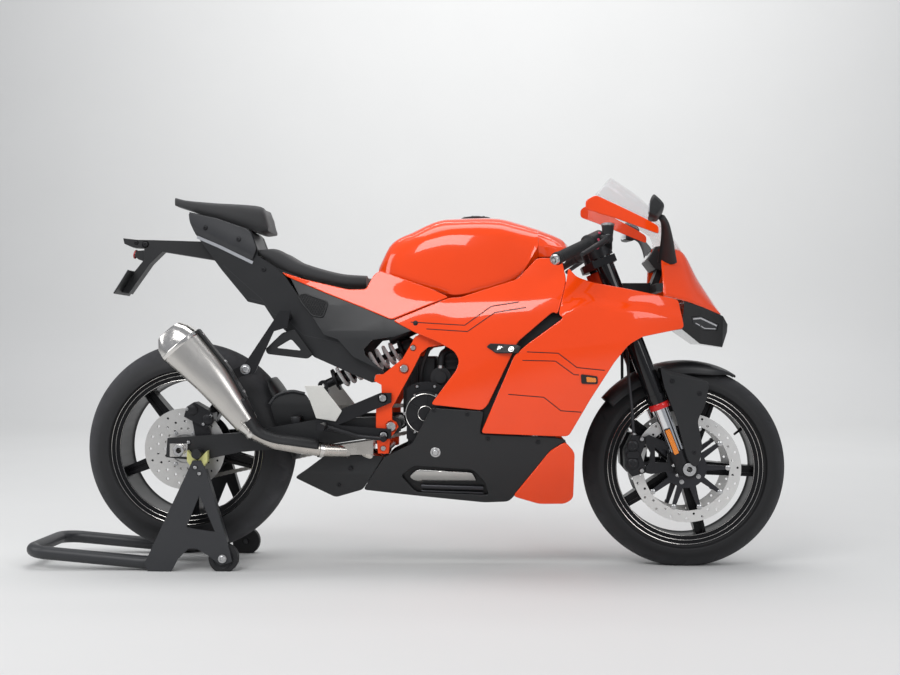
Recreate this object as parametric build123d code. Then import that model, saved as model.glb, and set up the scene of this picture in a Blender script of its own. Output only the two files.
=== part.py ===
from build123d import *
import math
import os

# Sport bike on a rear paddock stand. X forward, Y to the rider's left, Z up.
FRONT_AXLE_X = 824.0
ARM_LENGTH = 620.0
REAR_LIFT = 39.0
FRONT_TYRE_R = 300.0
FRONT_TYRE_W = 120.0
REAR_TYRE_R = 315.0
REAR_TYRE_W = 180.0
FRONT_SIDE_H = 84.0
REAR_SIDE_H = 99.0
FRONT_RIM_W = 89.0
REAR_RIM_W = 140.0
RIM_FLANGE_H = 13.0
RIM_FLANGE_T = 6.0
SPOKES = 5
AXLE_R = 12.7
AXLE_BORE_R = 8.0
RUNNING_FIT = 0.1
FIT_GAP = 0.4
RAKE_DEG = 21.0
AXLE_LEAD = 12.0
YOKE_OFFSET = 23.0
FORK_HALF_SPACING = 105.0
FORK_OUTER_R = 27.0
FORK_INNER_R = 21.5
FORK_TOP = 705.0
STEM_R = 16.0
FRONT_DISC_R = 160.0
FRONT_DISC_Y = 66.0
REAR_DISC_R = 120.0
REAR_DISC_Y = 97.0
DISC_T = 5.0
SPROCKET_PITCH_R = 106.0
DRIVE_PITCH_R = 36.0
CHAIN_Y = 100.0
CHAIN_W = 16.0
CHAIN_H = 16.0
PIVOT_X = -35.0
PIVOT_Z = 426.0
ARM_INNER_Y = 118.0
ARM_T = 28.0
PLATE_INNER_Y = 150.0
PLATE_T = 18.0
PANEL_T = 4.0
SEAM = 0.6
STAND_PLATE_Y = 176.0
STAND_PLATE_T = 5.0
STAND_TUBE_R = 19.0
ROLLER_R = 43.0
ROLLER_AHEAD = 76.0
ROLLER_W = 24.0
SPOOL_R = 14.0
SPOOL_AHEAD = 55.0
SPOOL_DROP = 9.0
STAND_REACH = 524.0

FRONT_AXLE_Z = FRONT_TYRE_R
REAR_AXLE_X = PIVOT_X - ARM_LENGTH
REAR_AXLE_Z = REAR_TYRE_R + REAR_LIFT
SPOOL_X = REAR_AXLE_X + SPOOL_AHEAD
SPOOL_Z = REAR_AXLE_Z - SPOOL_DROP
ROLLER_X = SPOOL_X + ROLLER_AHEAD
STAND_END_X = SPOOL_X - STAND_REACH
REAR_TYRE_FRONT_X = REAR_AXLE_X + REAR_TYRE_R
RAKE = math.radians(RAKE_DEG)
UP = Vector(-math.sin(RAKE), 0, math.cos(RAKE))
AHEAD = Vector(math.cos(RAKE), 0, math.sin(RAKE))
LEG_AHEAD = -AXLE_LEAD
STEER_AHEAD = -AXLE_LEAD - YOKE_OFFSET
PLATE_OUTER_Y = PLATE_INNER_Y + PLATE_T
ARM_OUTER_Y = ARM_INNER_Y + ARM_T


def polygon(points):
    return Wire.make_polygon([Vector(*p) for p in points], close=True)


def prism(outline, y0, y1):
    """Solid with an XZ outline between two Y planes."""
    face = Face(polygon([(x, y0, z) for x, z in outline]))
    return Solid.extrude(face, Vector(0, y1 - y0, 0))


def block(x0, x1, y0, y1, z0, z1):
    return prism([(x0, z0), (x1, z0), (x1, z1), (x0, z1)], y0, y1)


def disc(x, z, radius, y0, y1):
    """Cylinder along Y."""
    return Solid.make_cylinder(radius, y1 - y0, Plane(origin=(x, y0, z), z_dir=(0, 1, 0)))


def ring(x, z, outer, inner, y0, y1):
    return disc(x, z, outer, y0, y1) - disc(x, z, inner, y0 - 1, y1 + 1)


def rod(start, end, radius):
    start = Vector(*start)
    way = Vector(*end) - start
    return Solid.make_cylinder(radius, way.length, Plane(origin=start, z_dir=way))


def cone(start, end, r0, r1):
    start = Vector(*start)
    way = Vector(*end) - start
    return Solid.make_cone(r0, r1, way.length, Plane(origin=start, z_dir=way))


def tube(points, radius, bend):
    """Round bar along a bent path."""
    path = FilletPolyline(*points, radius=bend)
    section = Plane(origin=path @ 0, z_dir=path % 0) * Circle(radius)
    return sweep(section, path=path).solids()[0]


def loft_through(sections):
    return Solid.make_loft([polygon(s) for s in sections], ruled=True)


def fused(shapes):
    whole = shapes[0]
    for shape in shapes[1:]:
        whole = whole + shape
    return whole


def rounded(points, corners, share=0.3):
    """Closed section with the listed corners each drawn as three points."""
    result = []
    for k, point in enumerate(points):
        here = Vector(*point)
        if k not in corners:
            result.append(here)
            continue
        before = here + (Vector(*points[k - 1]) - here) * share
        after = here + (Vector(*points[(k + 1) % len(points)]) - here) * share
        result += [before, (before + here * 2 + after) * 0.25, after]
    return result


def both_sides(shape):
    return [shape, shape.mirror(Plane.XZ)]


def fork_at(along, y, ahead=LEG_AHEAD):
    """Point in the steering frame: distance up the legs from the axle, Y, distance ahead of the axle."""
    axle = Vector(FRONT_AXLE_X, y, FRONT_AXLE_Z)
    return axle + UP * along + AHEAD * ahead


def fork_plate(outline, low, high):
    """Plate square to the steering axis; outline in (ahead, y)."""
    face = Face(polygon([fork_at(low, y, ahead) for ahead, y in outline]))
    return Solid.extrude(face, UP * (high - low))


def skin(rows, levels, wall=PANEL_T):
    """Right-hand body skin: rows of (x, half widths) at the given heights."""
    sections = []
    for row in rows:
        x, widths = row[0], row[1]
        outer = [(x, -w, z) for w, z in zip(widths, levels)]
        inner = [(x, wall - w, z) for w, z in zip(widths, levels)]
        sections.append(outer + inner[::-1])
    return loft_through(sections)


def cut_to(shell, outline):
    return (shell & prism(outline, -400, 0)).solids()[0]


def save(node, solids):
    export_step(Compound(children=list(solids)), f"parts/{node}.step")


os.makedirs("parts", exist_ok=True)


# Wheels
def wheel_ring(x, z, profile):
    """Revolve a closed (radius, y) outline about an axle along Y."""
    face = Face(polygon([(x + r, y, z) for r, y in profile]))
    return revolve(face, axis=Axis((x, 0, z), (0, 1, 0)), revolution_arc=360).solids()[0]


def tyre(x, z, radius, width, bead_r, rim_width):
    half = width / 2
    bead = rim_width / 2 - RIM_FLANGE_T / 2 - FIT_GAP
    shoulder_r = radius - 0.78 * half
    side_r = bead_r + RIM_FLANGE_H + 3
    seat_r = bead_r + FIT_GAP
    drop = radius - shoulder_r
    # crown: share of the half width, share of the drop to the shoulder
    crown = ((1.0, 1.0), (0.72, 0.36), (0.22, 0.0))
    right = [(radius - drop * fall, -half * share) for share, fall in crown]
    left = [(r, -y) for r, y in right[::-1]]
    walls = [(side_r, bead), (seat_r, bead), (seat_r, -bead), (side_r, -bead)]
    return wheel_ring(x, z, right + left + walls)


def rim(x, z, bead_r, rim_width, first_deg, hub_half, hub_r):
    half = rim_width / 2
    edge = half + RIM_FLANGE_T / 2
    lip = half - RIM_FLANGE_T / 2
    barrel = wheel_ring(x, z, [
        (bead_r - 15, -edge + 3),
        (bead_r + RIM_FLANGE_H, -edge),
        (bead_r + RIM_FLANGE_H, -lip),
        (bead_r, -lip),
        (bead_r, lip),
        (bead_r + RIM_FLANGE_H, lip),
        (bead_r + RIM_FLANGE_H, edge),
        (bead_r - 15, edge - 3),
        (bead_r - 10, lip - 12),
        (bead_r - 10, 12 - lip),
    ])
    hub = disc(x, z, hub_r, -hub_half, hub_half)
    parts = [barrel, hub]
    # spoke outline: distance from the axle, half width, half depth
    root_r, root_w, root_d = 20.0, 21.0, min(half, 34.0)
    tip_r, tip_w, tip_d = bead_r - 8.0, 15.0, min(half - 8, 26.0)
    for k in range(SPOKES):
        turn = math.radians(first_deg + k * 360 / SPOKES)
        c, s = math.cos(turn), math.sin(turn)
        sections = []
        for r, w, d in ((root_r, root_w, root_d), (tip_r, tip_w, tip_d)):
            corners = [(-w, -d), (-w / 3, -d), (-w / 3, 6 - d), (w / 3, 6 - d), (w / 3, -d), (w, -d)]
            corners += [(w, d), (w / 3, d), (w / 3, d - 6), (-w / 3, d - 6), (-w / 3, d), (-w, d)]
            sections.append([(x + r * c - a * s, y, z + r * s + a * c) for a, y in corners])
        parts.append(loft_through(sections))
    whole = fused(parts)
    return whole - disc(x, z, AXLE_R + RUNNING_FIT, -hub_half - 1, hub_half + 1)


def brake_disc(x, z, radius, band, y0, y1, rows, count):
    plate = ring(x, z, radius, radius - band, y0, y1)
    holes = []
    for row in range(rows):
        r = radius - band * (row + 0.8) / (rows + 0.6)
        for k in range(count):
            turn = 2 * math.pi * (k + 0.5 * row) / count
            holes.append(disc(x + r * math.cos(turn), z + r * math.sin(turn), 3.5, y0 - 1, y1 + 1))
    return plate.cut(*holes).solids()[0]


def carrier(x, z, hub_in, hub_out, reach, y0, y1, arms):
    core = ring(x, z, hub_out, hub_in, y0, y1)
    parts = [core]
    for k in range(arms):
        turn = 2 * math.pi * k / arms
        c, s = math.cos(turn), math.sin(turn)
        corners = [(hub_out - 4, -9), (reach, -5), (reach, 5), (hub_out - 4, 9)]
        parts.append(prism([(x + r * c - a * s, z + r * s + a * c) for r, a in corners], y0, y1))
    return fused(parts)


FRONT_HUB_HALF = FRONT_DISC_Y - 6
FRONT_DISC_BAND = 34.0
FRONT_BEAD_R = FRONT_TYRE_R - FRONT_SIDE_H
REAR_BEAD_R = REAR_TYRE_R - REAR_SIDE_H
save("front_tyre", [tyre(
    FRONT_AXLE_X, FRONT_AXLE_Z, FRONT_TYRE_R, FRONT_TYRE_W, FRONT_BEAD_R, FRONT_RIM_W)])
save("front_rim", [rim(FRONT_AXLE_X, FRONT_AXLE_Z, FRONT_BEAD_R, FRONT_RIM_W, -4.0, FRONT_HUB_HALF, 36.0)])
front_disc = brake_disc(
    FRONT_AXLE_X, FRONT_AXLE_Z, FRONT_DISC_R, FRONT_DISC_BAND,
    FRONT_DISC_Y, FRONT_DISC_Y + DISC_T, 2, 20)
save("front_discs", both_sides(front_disc))
front_carrier = carrier(
    FRONT_AXLE_X, FRONT_AXLE_Z, 22.0, 60.0, FRONT_DISC_R - FRONT_DISC_BAND - FIT_GAP,
    FRONT_HUB_HALF, FRONT_DISC_Y + DISC_T - 1, 10)
save("front_disc_carriers", both_sides(front_carrier))

REAR_HUB_HALF = REAR_DISC_Y - 4
SPROCKET_TIP_R = SPROCKET_PITCH_R - CHAIN_H / 2 - 0.8
save("rear_tyre", [tyre(REAR_AXLE_X, REAR_AXLE_Z, REAR_TYRE_R, REAR_TYRE_W, REAR_BEAD_R, REAR_RIM_W)])
save("rear_rim", [rim(REAR_AXLE_X, REAR_AXLE_Z, REAR_BEAD_R, REAR_RIM_W, 57.0, REAR_HUB_HALF, 44.0)])
rear_rotor = brake_disc(
    REAR_AXLE_X, REAR_AXLE_Z, REAR_DISC_R, 78.0, -REAR_DISC_Y - DISC_T + 1, 1 - REAR_DISC_Y, 3, 18)
rear_spacer = ring(REAR_AXLE_X, REAR_AXLE_Z, 60.0, 24.0, -REAR_DISC_Y + 1, -REAR_HUB_HALF)
save("rear_disc", [rear_rotor + rear_spacer])
sprocket_parts = [ring(REAR_AXLE_X, REAR_AXLE_Z, SPROCKET_TIP_R, 24.0, CHAIN_Y - 3, CHAIN_Y + 3)]
sprocket_parts.append(ring(REAR_AXLE_X, REAR_AXLE_Z, 62.0, 24.0, REAR_HUB_HALF, CHAIN_Y - 3))
sprocket = fused(sprocket_parts)
windows = []
for k in range(6):
    turn = 2 * math.pi * k / 6
    x, z = REAR_AXLE_X + 79 * math.cos(turn), REAR_AXLE_Z + 79 * math.sin(turn)
    windows.append(disc(x, z, 11.0, 90, 110))
save("rear_sprocket", [sprocket.cut(*windows).solids()[0]])

# Front fork and steering
FOOT_IN_Y = FORK_HALF_SPACING - 17
FOOT_OUT_Y = FORK_HALF_SPACING + 19
axle = disc(FRONT_AXLE_X, FRONT_AXLE_Z, AXLE_R, -FOOT_OUT_Y - 4, FOOT_OUT_Y + 4)
axle = axle + disc(FRONT_AXLE_X, FRONT_AXLE_Z, 19.0, -FOOT_OUT_Y - 8, -FOOT_OUT_Y - FIT_GAP)
axle = axle + disc(FRONT_AXLE_X, FRONT_AXLE_Z, 19.0, FOOT_OUT_Y + FIT_GAP, FOOT_OUT_Y + 8)
save("front_axle", [axle - disc(FRONT_AXLE_X, FRONT_AXLE_Z, AXLE_BORE_R, -200, 200)])

LEG_Y = FORK_HALF_SPACING
SLIDER_FOOT = 62.0
SLIDER_SHOWS = 196.0
foot = rod(fork_at(-6, -LEG_Y), fork_at(SLIDER_FOOT, -LEG_Y), 28.0)
foot = foot + disc(FRONT_AXLE_X, FRONT_AXLE_Z, 27.0, -FOOT_OUT_Y, -FOOT_IN_Y)
LUG_Y = -LEG_Y + 8
lug_outline = [
    (795, 362), (712, 398), (701, 392), (701, 372), (716, 345), (712, 318), (701, 304), (701, 288),
    (716, 284), (790, 296)]
foot = foot + prism(lug_outline, LUG_Y - 9, LUG_Y + 9)
foot = foot - disc(FRONT_AXLE_X, FRONT_AXLE_Z, AXLE_R + FIT_GAP, -200, 0)
foot = foot - disc(FRONT_AXLE_X, FRONT_AXLE_Z, 21.0, -200, -FOOT_OUT_Y)
foot = foot - rod(fork_at(SLIDER_FOOT, -LEG_Y), fork_at(SLIDER_SHOWS, -LEG_Y), FORK_INNER_R + FIT_GAP)
foot = foot - prism([(765, 352), (728, 366), (728, 318), (765, 318)], -LEG_Y - 20, -LEG_Y + 40)
save("fork_feet", both_sides(foot))
slider = rod(fork_at(SLIDER_FOOT, -LEG_Y), fork_at(SLIDER_SHOWS + 90, -LEG_Y), FORK_INNER_R)
save("fork_sliders", both_sides(slider))
leg = rod(fork_at(SLIDER_SHOWS, -LEG_Y), fork_at(FORK_TOP, -LEG_Y), FORK_OUTER_R)
leg = leg - rod(fork_at(SLIDER_SHOWS - 1, -LEG_Y), fork_at(SLIDER_SHOWS + 92, -LEG_Y),
    FORK_INNER_R + FIT_GAP)
leg = leg + rod(fork_at(SLIDER_SHOWS + 24, -LEG_Y), fork_at(SLIDER_SHOWS + 40, -LEG_Y), FORK_OUTER_R + 3) \
    - rod(fork_at(SLIDER_SHOWS + 20, -LEG_Y), fork_at(SLIDER_SHOWS + 44, -LEG_Y), FORK_INNER_R + FIT_GAP)
save("fork_legs", both_sides(leg))

LOWER_YOKE = (430.0, 462.0)
UPPER_YOKE = (640.0, 662.0)
yoke_half = LEG_Y + FORK_OUTER_R + 7
yoke_front = LEG_AHEAD + FORK_OUTER_R + 8
yoke_back = LEG_AHEAD - FORK_OUTER_R - 8
yoke_outline = [
    (STEER_AHEAD - 36, -34), (yoke_back, -yoke_half), (yoke_front, -yoke_half), (yoke_front, -72),
    (STEER_AHEAD + 30, -34), (STEER_AHEAD + 30, 34), (yoke_front, 72), (yoke_front, yoke_half),
    (yoke_back, yoke_half), (STEER_AHEAD - 36, 34)]
yokes = fork_plate(yoke_outline, *LOWER_YOKE) + fork_plate(yoke_outline, *UPPER_YOKE)
yokes = yokes + rod(fork_at(LOWER_YOKE[0], 0, STEER_AHEAD), fork_at(UPPER_YOKE[1] + 10, 0, STEER_AHEAD),
    STEM_R)
for side in (-1, 1):
    yokes = yokes - rod(fork_at(400, side * LEG_Y), fork_at(720, side * LEG_Y), FORK_OUTER_R + FIT_GAP)
save("yokes", yokes.solids())

# Handlebar line: outer end, grip flange, inner end above the clamp
BAR_END = Vector(428, -340, 893)
BAR_FLANGE = Vector(530, -222, 948)
BAR_WAY = (BAR_FLANGE - BAR_END).normalized()
BAR_R = 11.0
CLAMP = (666.0, 700.0)
bar_inner = BAR_FLANGE + BAR_WAY * 100
clamp = rod(fork_at(CLAMP[0], -LEG_Y), fork_at(CLAMP[1], -LEG_Y), FORK_OUTER_R + 8)
riser_base = fork_at(683, -LEG_Y, LEG_AHEAD + 24)
bar = rod(BAR_END, bar_inner, BAR_R)
riser = cone(riser_base, (bar_inner - BAR_WAY * 6), 15, 13)
clip_on = clamp + riser + bar - rod(fork_at(400, -LEG_Y), fork_at(720, -LEG_Y), FORK_OUTER_R + FIT_GAP)
save("clip_ons", both_sides(clip_on.solids()[0]))


def on_bar(start, end, radius):
    outer = rod((BAR_END + BAR_WAY * start), (BAR_END + BAR_WAY * end), radius)
    return outer - rod((BAR_END - BAR_WAY * 20), bar_inner, BAR_R + FIT_GAP)


grip_length = (BAR_FLANGE - BAR_END).length
grip = on_bar(16, grip_length, 16.0) + on_bar(grip_length - 10, grip_length, 25.0) + on_bar(2, 16, 18.0)
save("grips", both_sides(grip))

# Switch housing, lever and reservoir on each bar
LEVER_WAY = Vector(0.755, -0.655, 0)
housing = on_bar(grip_length + 1, grip_length + 52, 24.0)
pivot_block = BAR_END + BAR_WAY * (grip_length + 36)
lever_root = pivot_block + LEVER_WAY * 40
lever_tip = BAR_END + BAR_WAY * 34 + LEVER_WAY * 66
arm = rod((pivot_block + LEVER_WAY * 14), (lever_root + LEVER_WAY * 8), 13.0)
blade = cone(lever_root, lever_tip, 9, 6)
control = housing + arm - rod((BAR_END), bar_inner, BAR_R + FIT_GAP) + blade
left_control = control.mirror(Plane.XZ)
CUP_LOW_R, CUP_TOP_R, CUP_H = 14.0, 18.0, 38.0
cup_base = lever_root + Vector(0, 9, 2)
cup = Solid.make_cone(CUP_LOW_R, CUP_TOP_R, CUP_H, Plane(origin=cup_base, z_dir=(0, 0, 1)))
save("hand_controls", [(control + cup).solids()[0], left_control.solids()[0]])

# Front mudguard with leg covers
GUARD_R = FRONT_TYRE_R + 12
GUARD_HALF = FRONT_TYRE_W / 2 + 12
guard_profile = [
    (GUARD_R - 40, -GUARD_HALF), (GUARD_R - 12, -GUARD_HALF + 8), (GUARD_R, -30), (GUARD_R, 30),
    (GUARD_R - 12, GUARD_HALF - 8), (GUARD_R - 40, GUARD_HALF), (GUARD_R - 40, GUARD_HALF + 4),
    (GUARD_R - 8, GUARD_HALF - 4), (GUARD_R + 4, 32), (GUARD_R + 4, -32),
    (GUARD_R - 8, 4 - GUARD_HALF), (GUARD_R - 40, -GUARD_HALF - 4)]
GUARD_FROM, GUARD_TO = 60.0, 140.0
guard_face = Face(polygon([(FRONT_AXLE_X + r, y, FRONT_AXLE_Z) for r, y in guard_profile]))
guard_face = guard_face.rotate(Axis((FRONT_AXLE_X, 0, FRONT_AXLE_Z), (0, 1, 0)), -GUARD_FROM)
guard = revolve(
    guard_face, axis=Axis((FRONT_AXLE_X, 0, FRONT_AXLE_Z), (0, -1, 0)),
    revolution_arc=GUARD_TO - GUARD_FROM).solids()[0]
COVER_Y = LEG_Y + 31
# leg cover and brace outlines from the axle, as shares of the guard's radius
cover_shape = [
    (-0.3462, 0.9808), (0.1795, 0.8077), (0.1346, 0.5833), (0.0256, 0.5577), (0.0385, 0.1667),
    (-0.0385, 0.0962), (-0.1218, 0.1795), (-0.2917, 0.7949)]
brace_shape = [(-0.3462, 0.9808), (0.1346, 0.8333), (0.0833, 0.7051), (-0.2917, 0.8205)]


def on_guard(shape):
    return [(FRONT_AXLE_X + a * GUARD_R, FRONT_AXLE_Z + b * GUARD_R) for a, b in shape]


cover = prism(on_guard(cover_shape), -COVER_Y - 4, -COVER_Y)
brace = prism(on_guard(brace_shape), -COVER_Y, 4 - GUARD_HALF)
brace = brace - rod(fork_at(100, -LEG_Y), fork_at(420, -LEG_Y), FORK_OUTER_R + FIT_GAP)
brace = brace - disc(FRONT_AXLE_X, FRONT_AXLE_Z, GUARD_R - 12, -300, 300)
covers = both_sides(cover) + both_sides(brace)
save("front_mudguard", fused([guard] + covers).solids())

CALIPER_GAP = 5.0
caliper_outline = [
    (700.5, 392), (662, 398), (640, 352), (642, 300), (662, 276), (700.5, 288), (700.5, 304), (688, 340),
    (700.5, 372)]
caliper = prism(caliper_outline, -FRONT_DISC_Y - 38, 22 - FRONT_DISC_Y)
caliper = caliper - disc(
    FRONT_AXLE_X, FRONT_AXLE_Z, FRONT_DISC_R + CALIPER_GAP,
    -FRONT_DISC_Y - DISC_T - CALIPER_GAP, CALIPER_GAP - FRONT_HUB_HALF)
save("front_calipers", both_sides(caliper.solids()[0]))

hose_top = fork_at(LOWER_YOKE[0] - 0.6, 40 - LEG_Y, LEG_AHEAD - 22)
hose_under = fork_at(LOWER_YOKE[0] - 34, 40 - LEG_Y, LEG_AHEAD - 22)
hose_path = [(668, 17 - LEG_Y, 398.6), (662, 9 - LEG_Y, 480), (654, 8 - LEG_Y, 556), hose_under, hose_top]
hose = tube(hose_path, 4.5, 24)
save("brake_hoses", both_sides(hose))

# Frame: head tube, two spars, side plates, cross tubes
HEAD = (LOWER_YOKE[1] + 8, UPPER_YOKE[0] - 8)
head = rod(fork_at(HEAD[0], 0, STEER_AHEAD), fork_at(HEAD[1], 0, STEER_AHEAD), STEM_R + 14)
# spar sections: x, inner y, outer y, low z, high z
SPAR = (
    (612.0, 4.0, 26.0, 742.0, 806.0),
    (500.0, 50.0, 82.0, 722.0, 792.0),
    (300.0, 118.0, 148.0, 690.0, 756.0),
    (70.0, PLATE_INNER_Y, PLATE_OUTER_Y, 654.0, 714.0),
    (30.0, PLATE_INNER_Y, PLATE_OUTER_Y, 622.0, 680.0),
)
spar = loft_through([
    [(x, -y0, z0), (x, -y1, z0), (x, -y1, z1), (x, -y0, z1)] for x, y0, y1, z0, z1 in SPAR])
plate_outline = [
    (34, 687), (-4, 621), (-60, 576), (-82, 574), (-86, 556), (-66, 545), (-65, 525), (-81, 474),
    (-81, 403), (-75, 347), (-45, 347), (-40, 393), (-32, 401), (-17, 423), (-22, 436), (-35, 444),
    (-35, 479), (29, 596), (64, 667)]
side_plate = prism(plate_outline, -PLATE_OUTER_Y, -PLATE_INNER_Y)
frame_parts = [head]
for shape in (spar, side_plate):
    frame_parts += both_sides(shape)
frame_parts.append(disc(-8, 570, 12, -PLATE_INNER_Y - 1, PLATE_INNER_Y + 1))
frame_parts.append(disc(-58, 354, 10, -PLATE_INNER_Y - 1, PLATE_INNER_Y + 1))
SHOCK_TOP_X, SHOCK_TOP_Z = 36.0, 672.0
frame_parts.append(disc(SHOCK_TOP_X, SHOCK_TOP_Z, 12, -PLATE_INNER_Y - 1, PLATE_INNER_Y + 1))
TANK_FLOOR_Z = 790.0
frame_parts += both_sides(block(270, 300, -142, -122, 740, TANK_FLOOR_Z - 0.2))
PIVOT_R = 12.0
frame_parts.append(disc(PIVOT_X, PIVOT_Z, PIVOT_R, -PLATE_INNER_Y - 1, PLATE_INNER_Y + 1))
SIDE_STAND = Vector(-62, 175, 362)
SIDE_STAND_LEAN = math.radians(15)
HINGE = Vector(0, math.cos(SIDE_STAND_LEAN), math.sin(SIDE_STAND_LEAN))
HINGE_PIN_R = 6.0
frame_parts.append(prism([(-82, 384), (-40, 384), (-40, 349), (-82, 349)], PLATE_INNER_Y,
    PLATE_OUTER_Y - 4))
frame_parts.append(rod(SIDE_STAND - HINGE * 16, SIDE_STAND, 14))
main_frame = fused(frame_parts)
main_frame = main_frame - rod(SIDE_STAND - HINGE * 40, SIDE_STAND + HINGE * 20, HINGE_PIN_R + RUNNING_FIT)
main_frame = main_frame - rod(
    fork_at(HEAD[0] - 5, 0, STEER_AHEAD), fork_at(HEAD[1] + 5, 0, STEER_AHEAD), STEM_R + RUNNING_FIT)
main_frame = main_frame - rod(
    fork_at(HEAD[1], 0, STEER_AHEAD), fork_at(HEAD[1] + 60, 0, STEER_AHEAD), 90)
save("main_frame", main_frame.solids())


def from_rear_axle(outline):
    return [(REAR_AXLE_X + dx, REAR_AXLE_Z + dz) for dx, dz in outline]


# Swingarm: two beams, cross piece ahead of the tyre, pivot sleeve
beam_top = [
    (PIVOT_X, PIVOT_Z + 26), (PIVOT_X - 205, PIVOT_Z + 20), (REAR_AXLE_X + 175, REAR_AXLE_Z + 50),
    (REAR_AXLE_X - 40, REAR_AXLE_Z + 34)]
beam_low = [
    (REAR_AXLE_X - 44, REAR_AXLE_Z - 22), (REAR_AXLE_X + 55, REAR_AXLE_Z - 32),
    (REAR_AXLE_X + 175, REAR_AXLE_Z - 6), (PIVOT_X - 205, PIVOT_Z - 58), (PIVOT_X, PIVOT_Z - 26)]
beam_outline = beam_top + beam_low
beam = prism(beam_outline, -ARM_OUTER_Y, -ARM_INNER_Y) + disc(PIVOT_X, PIVOT_Z, 26, -ARM_OUTER_Y,
    -ARM_INNER_Y)
swing_parts = both_sides(beam)
CROSS_GAP, CROSS_LENGTH = 32.0, 88.0
CROSS_TOP, CROSS_LOW = PIVOT_Z + 6, PIVOT_Z - 48
cross_back = REAR_TYRE_FRONT_X + CROSS_GAP
cross_front = cross_back + CROSS_LENGTH
swing_parts.append(prism(
    [(cross_back, CROSS_TOP - 8), (cross_back, CROSS_LOW), (cross_front, CROSS_LOW), (cross_front, CROSS_TOP)],
    -ARM_INNER_Y - 1, ARM_INNER_Y + 1))
swing_parts.append(disc(PIVOT_X, PIVOT_Z, 20, -ARM_INNER_Y - 1, ARM_INNER_Y + 1))
SHOCK_Y = -50.0
SHOCK_LOW_X, SHOCK_LOW_Z = -250.0, 540.0
shock_lug = [
    (cross_back + 6, CROSS_TOP - 32), (cross_front - 6, CROSS_TOP - 32), (cross_front - 4, CROSS_TOP - 2),
    (SHOCK_LOW_X + 16, SHOCK_LOW_Z - 12), (SHOCK_LOW_X - 16, SHOCK_LOW_Z - 12),
    (cross_back + 6, CROSS_TOP - 2)]
swing_parts.append(prism(shock_lug, SHOCK_Y - 16, SHOCK_Y + 16))
swingarm = fused(swing_parts)
swingarm = swingarm - disc(PIVOT_X, PIVOT_Z, PIVOT_R + FIT_GAP, -300, 300)
slot_half = AXLE_R + FIT_GAP
slot = block(
    REAR_AXLE_X - 18, REAR_AXLE_X + 18, -300, 300, REAR_AXLE_Z - slot_half, REAR_AXLE_Z + slot_half)
swingarm = swingarm - slot
for side in (-1, 1):
    inner, outer = side * (ARM_OUTER_Y - 1), side * (STAND_PLATE_Y + 14)
    swingarm = swingarm + disc(SPOOL_X, SPOOL_Z, SPOOL_R, min(inner, outer), max(inner, outer))
save("swingarm", swingarm.solids())
rear_axle = disc(REAR_AXLE_X, REAR_AXLE_Z, AXLE_R, -ARM_OUTER_Y - 12, ARM_OUTER_Y + 12)
for side in (-1, 1):
    near, far = side * (ARM_OUTER_Y + FIT_GAP), side * (ARM_OUTER_Y + 12)
    rear_axle = rear_axle + block(
        REAR_AXLE_X - 30, REAR_AXLE_X + 22, min(near, far), max(near, far),
        REAR_AXLE_Z - 19, REAR_AXLE_Z + 19)
    rear_axle = rear_axle + disc(
        REAR_AXLE_X, REAR_AXLE_Z, 18, min(far, far + side * 12), max(far, far + side * 12))
save("rear_axle", [rear_axle - disc(REAR_AXLE_X, REAR_AXLE_Z, AXLE_BORE_R, -300, 300)])

caliper_body = [(72, 61), (89, 81), (90, 107), (34, 139), (12, 125), (4, 96)]
caliper_mount = [(24, 92), (74, 66), (84, 20), (40, 14)]
rear_caliper = prism(from_rear_axle(caliper_body), -ARM_INNER_Y - 12, -72)
rear_caliper = rear_caliper + prism(from_rear_axle(caliper_mount), -ARM_INNER_Y + FIT_GAP, -108)
rear_caliper = rear_caliper - disc(
    REAR_AXLE_X, REAR_AXLE_Z, REAR_DISC_R + CALIPER_GAP, -REAR_DISC_Y - DISC_T - 3, 4 - REAR_DISC_Y)
rear_caliper = rear_caliper - prism(
    [(x, z - 1) for x, z in beam_outline], -ARM_OUTER_Y, -ARM_INNER_Y + FIT_GAP)
save("rear_caliper", rear_caliper.solids()[:1])

# Chain: closed band round both sprockets, waisted between the pins of each link
DRIVE_X, DRIVE_Z = 45.0, 440.0
LINKS = 56
LINK_WAIST = 2.6


def belt(offset, y0, y1):
    """Closed belt outline round the two sprockets, grown by an offset."""
    big, small = SPROCKET_PITCH_R + offset, DRIVE_PITCH_R + offset
    dx, dz = DRIVE_X - REAR_AXLE_X, DRIVE_Z - REAR_AXLE_Z
    span = math.hypot(dx, dz)
    lean = math.atan2(dz, dx)
    spread = math.acos((big - small) / span)
    points = []
    for sign in (1, -1):
        turn = lean + sign * spread
        c, s = math.cos(turn), math.sin(turn)
        points.append(((REAR_AXLE_X + big * c, REAR_AXLE_Z + big * s),
            (DRIVE_X + small * c, DRIVE_Z + small * s)))
    top, low = points
    between = prism([top[0], top[1], low[1], low[0]], y0, y1)
    return between + disc(REAR_AXLE_X, REAR_AXLE_Z, big, y0, y1) + disc(DRIVE_X, DRIVE_Z, small, y0, y1)


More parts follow.
